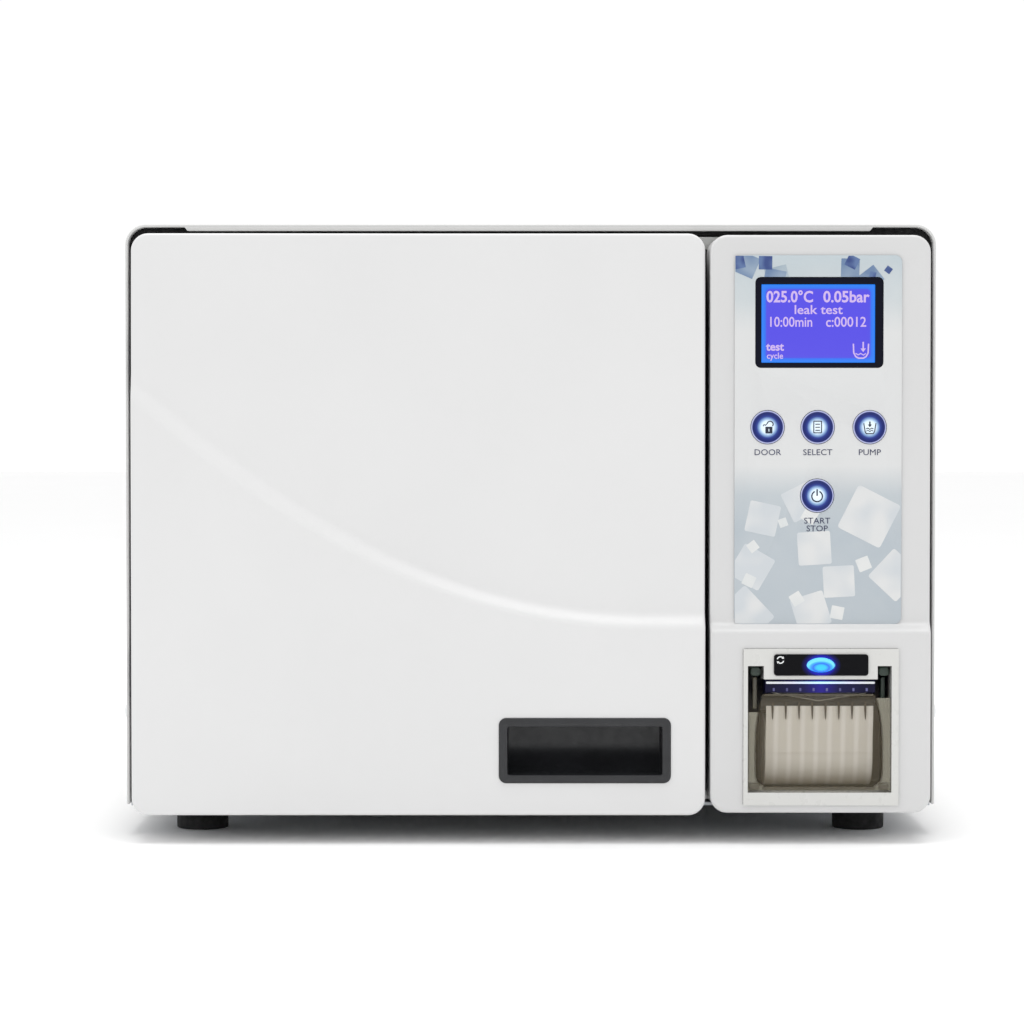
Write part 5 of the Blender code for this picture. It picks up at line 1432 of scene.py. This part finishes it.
def build_roll():
    """Paper roll: wound edges, a card core and the free end that runs up to the tear bar."""
    low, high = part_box("paper_roll")
    radius = (high.z - low.z) / 2
    middle = ((low.y + high.y) / 2, (low.z + high.z) / 2)
    core = 0.0060
    profile = [(core, 0.0), (radius - 0.0004, 0.0)]
    profile += [(radius, 0.0003), (radius, high.x - low.x - 0.0003), (radius - 0.0004, high.x - low.x),
                (core, high.x - low.x)]
    roll = turned("roll_paper", profile, (0, 0, 0), segments=128, closed=True)
    paper = Surface("roll_paper_shade_bands", srgb(226, 220, 210), 0.6)
    # Light and dark bands across the paper at the 7 mm pitch of the cover's ribs and the comb: painted shade.
    split = paper.node("ShaderNodeSeparateXYZ")
    paper.link(paper.place, split.inputs["Vector"])
    shade_wave = paper.node("ShaderNodeMath", operation="SINE")
    scale = paper.node("ShaderNodeMath", operation="MULTIPLY")
    scale.inputs[1].default_value = 2 * math.pi / 0.0071
    paper.link(split.outputs["X"], scale.inputs[0])
    paper.link(scale.outputs["Value"], shade_wave.inputs[0])
    color = paper.ramp(shade_wave.outputs["Value"], [(0.0, srgb(214, 208, 196)), (1.0, srgb(230, 225, 216))])
    paper.link(color, paper.shader.inputs["Base Color"])
    paper.set("Sheen Weight", 0.1)
    roll.data.transform(Matrix.Translation((low.x, *middle)) @ Matrix.Rotation(math.pi / 2, 4, "Y"))
    sheet = paper.grain(900, 0.08, 0.0001).done()
    dress(roll, sheet, "roll", "paper", "paper_roll")

    platen_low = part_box("platen_roller")[0]
    path = [(middle[0] - radius - 0.00035, middle[1]), (middle[0] - radius - 0.0010, middle[1] + 0.008)]
    path += [(platen_low.y - 0.0002, platen_low.z - 0.004), (platen_low.y - 0.0002, platen_low.z + 0.0030)]
    web = prism("paper_web", [stroke(path, 0.0002)], low.x + 0.0002, high.x - 0.0002, "YZ")
    dress(web, sheet, "cabinet", "paper")


# ------------------------------------------------------------------ chamber trays and rear fittings


def build_trays():
    """Perforated trays with a rolled rim."""
    for level in ("lower", "middle", "upper"):
        node = f"tray_{level}"
        low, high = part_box(node)
        sheet = 0.0010
        corner = 0.004
        inset = 0.0003
        floor_bounds = grown((low.x, low.y, high.x, high.y), -inset)
        outlines = [rounded(*floor_bounds, corner - inset, 6)]
        pitch = 0.0115
        columns = int((high.x - low.x - 0.012) / pitch)
        lines = int((high.y - low.y - 0.014) / pitch)
        for column in range(columns + 1):
            for line in range(lines + 1):
                x = (low.x + high.x) / 2 + (column - columns / 2) * pitch
                y = (low.y + high.y) / 2 + (line - lines / 2) * pitch
                outlines.append(circle(x, y, 0.0024, 12))
        plate = prism(f"{node}_plate", outlines, low.z, low.z + sheet, "XY")
        wall = prism(f"{node}_wall", [rounded(*grown(floor_bounds, -0.0002), corner - 0.0005, 6),
                                      rounded(*grown(floor_bounds, -sheet), corner - sheet - inset, 6)],
                     low.z + sheet - 0.0002, high.z - 0.0005, "XY")
        rim = prism(f"{node}_rim", [rounded(low.x, low.y, high.x, high.y, corner, 6),
                                    rounded(low.x + 0.0022, low.y + 0.0022, high.x - 0.0022, high.y - 0.0022,
                                            corner - 0.0022, 6)],
                    high.z - 0.0014, high.z, "XY", bevel=0.0004)
        tray = merge(f"pan_{level}", [plate, wall, rim])
        dress(tray, TRAY_METAL, "cabinet", "tray_aluminium", node)


def build_rear():
    """Fasteners, fan guard and inlet pins on the back."""
    panel_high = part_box("rear_panel")[1]
    face = panel_high.y
    reach_x = panel_high.x - 0.010
    for index, (x, z) in enumerate([(-reach_x, 0.030), (-reach_x, 0.172), (-reach_x, 0.312), (-0.07, 0.314),
                                    (0.07, 0.314), (reach_x, 0.312), (reach_x, 0.172), (reach_x, 0.030),
                                    (-0.02, 0.029)]):
        build_screw(f"rear_screw_{index}", (x, face, z), Vector((0, 1, 0)), 0.0036, 0.0018, ZINC,
                    "screw_steel", None)

    fan_low, fan_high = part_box("fan_frame")
    fan_x, fan_z = (fan_low.x + fan_high.x) / 2, (fan_low.z + fan_high.z) / 2
    wires = []
    for index in range(5):
        radius = 0.0075 + 0.0083 * index
        ring = [(radius + 0.0009 * math.cos(2 * math.pi * k / 10), 0.0009 * math.sin(2 * math.pi * k / 10))
                for k in range(10)]
        loop = turned(f"guard_ring_{index}", ring, (fan_x, face + 0.0012, fan_z), "XZ", 64, closed=True)
        wires.append(loop)
    for angle in (45, 135):
        way = Vector((math.cos(math.radians(angle)), math.sin(math.radians(angle))))
        ends = [(fan_x + way.x * end, fan_z + way.y * end) for end in (-0.0480, 0.0480)]
        line = stroke(ends, 0.0018)
        wires.append(prism(f"guard_spoke_{angle}", [line], face + 0.0001, face + 0.0011, bevel=0.0003))
    guard = merge("fan_guard", wires)
    dress(guard, POLISHED, "cabinet", "stainless")
    for index, (sx, sz) in enumerate(((-1, -1), (-1, 1), (1, -1), (1, 1))):
        build_screw(f"fan_screw_{index}", (fan_x + sx * 0.0385, face, fan_z + sz * 0.0385), Vector((0, 1, 0)),
                    0.0036, 0.0018, ZINC, "screw_steel", None)

    inlet_low, inlet_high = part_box("mains_inlet")
    x, z = (inlet_low.x + inlet_high.x) / 2, (inlet_low.z + inlet_high.z) / 2
    wide, tall = 0.0009, 0.0020
    for index, (dx, dz) in enumerate(((-0.0070, -0.0012), (0.0070, -0.0012), (0.0, 0.0036))):
        shape = rounded(x + dx - wide, z + dz - tall, x + dx + wide, z + dz + tall, 0.0005)
        pin = prism(f"inlet_pin_{index}", [shape], inlet_high.y - 0.0150, inlet_high.y - 0.0040, bevel=0.0004)
        dress(pin, BRASS, "cabinet", "brass")
    for side, sign in (("left", -1), ("right", 1)):
        build_screw(f"inlet_screw_{side}", (x + sign * 0.0200, inlet_high.y - 0.0002, z),
                    Vector((0, 1, 0)), 0.0024, 0.0008, ZINC, "screw_steel", None)


# ------------------------------------------------------------------ stage


def build_stage():
    """Pale floor, soft studio light and the camera."""
    bm = bmesh.new()
    bmesh.ops.create_grid(bm, x_segments=4, y_segments=4, size=12.0)
    floor = from_bmesh("studio_floor", bm)
    floor_surface = Surface("floor_white", srgb(250, 250, 250), 0.8).mottle(2, 0.004)
    floor_surface.set("Specular IOR Level", 0.1)
    floor.data.materials.append(floor_surface.done())
    floor.location.z = cad_low.z - 0.0002

    world = bpy.data.worlds.new("studio_world")
    world.use_nodes = True
    world.node_tree.nodes["Background"].inputs["Color"].default_value = (1.0, 1.0, 1.0, 1.0)
    world.node_tree.nodes["Background"].inputs["Strength"].default_value = 1.02
    bpy.context.scene.world = world

    middle = (cad_low + cad_high) / 2
    lamps = {
        "top_box": ((0.0, -0.30, 2.3), 1.4, 24.0),
        "left_box": ((-2.3, -1.5, 1.5), 1.8, 2.5),
        "back_box": ((0.0, 2.4, 1.7), 2.0, 3.5),
    }
    for name, (place, size, power) in lamps.items():
        light = bpy.data.lights.new(name, "AREA")
        light.shape = "SQUARE"
        light.size = size
        light.energy = power
        lamp = bpy.data.objects.new(name, light)
        lamp.location = place
        lamp.rotation_euler = (middle - Vector(place)).to_track_quat("-Z", "Y").to_euler()
        bpy.context.scene.collection.objects.link(lamp)

    data = bpy.data.cameras.new("camera")
    data.lens = 117
    data.sensor_width = 36
    camera = bpy.data.objects.new("camera", data)
    camera.location = (-0.0100, -1.9965, 0.2240)
    camera.rotation_euler = (math.radians(88.4), 0.0, 0.0)
    bpy.context.scene.collection.objects.link(camera)
    bpy.context.scene.camera = camera
    bpy.context.scene.view_settings.view_transform = "Standard"


build_cabinet()
build_door()
build_panel()
build_overlay()
build_keys()
build_display()
build_printer()
build_trays()
build_rear()
build_stage()
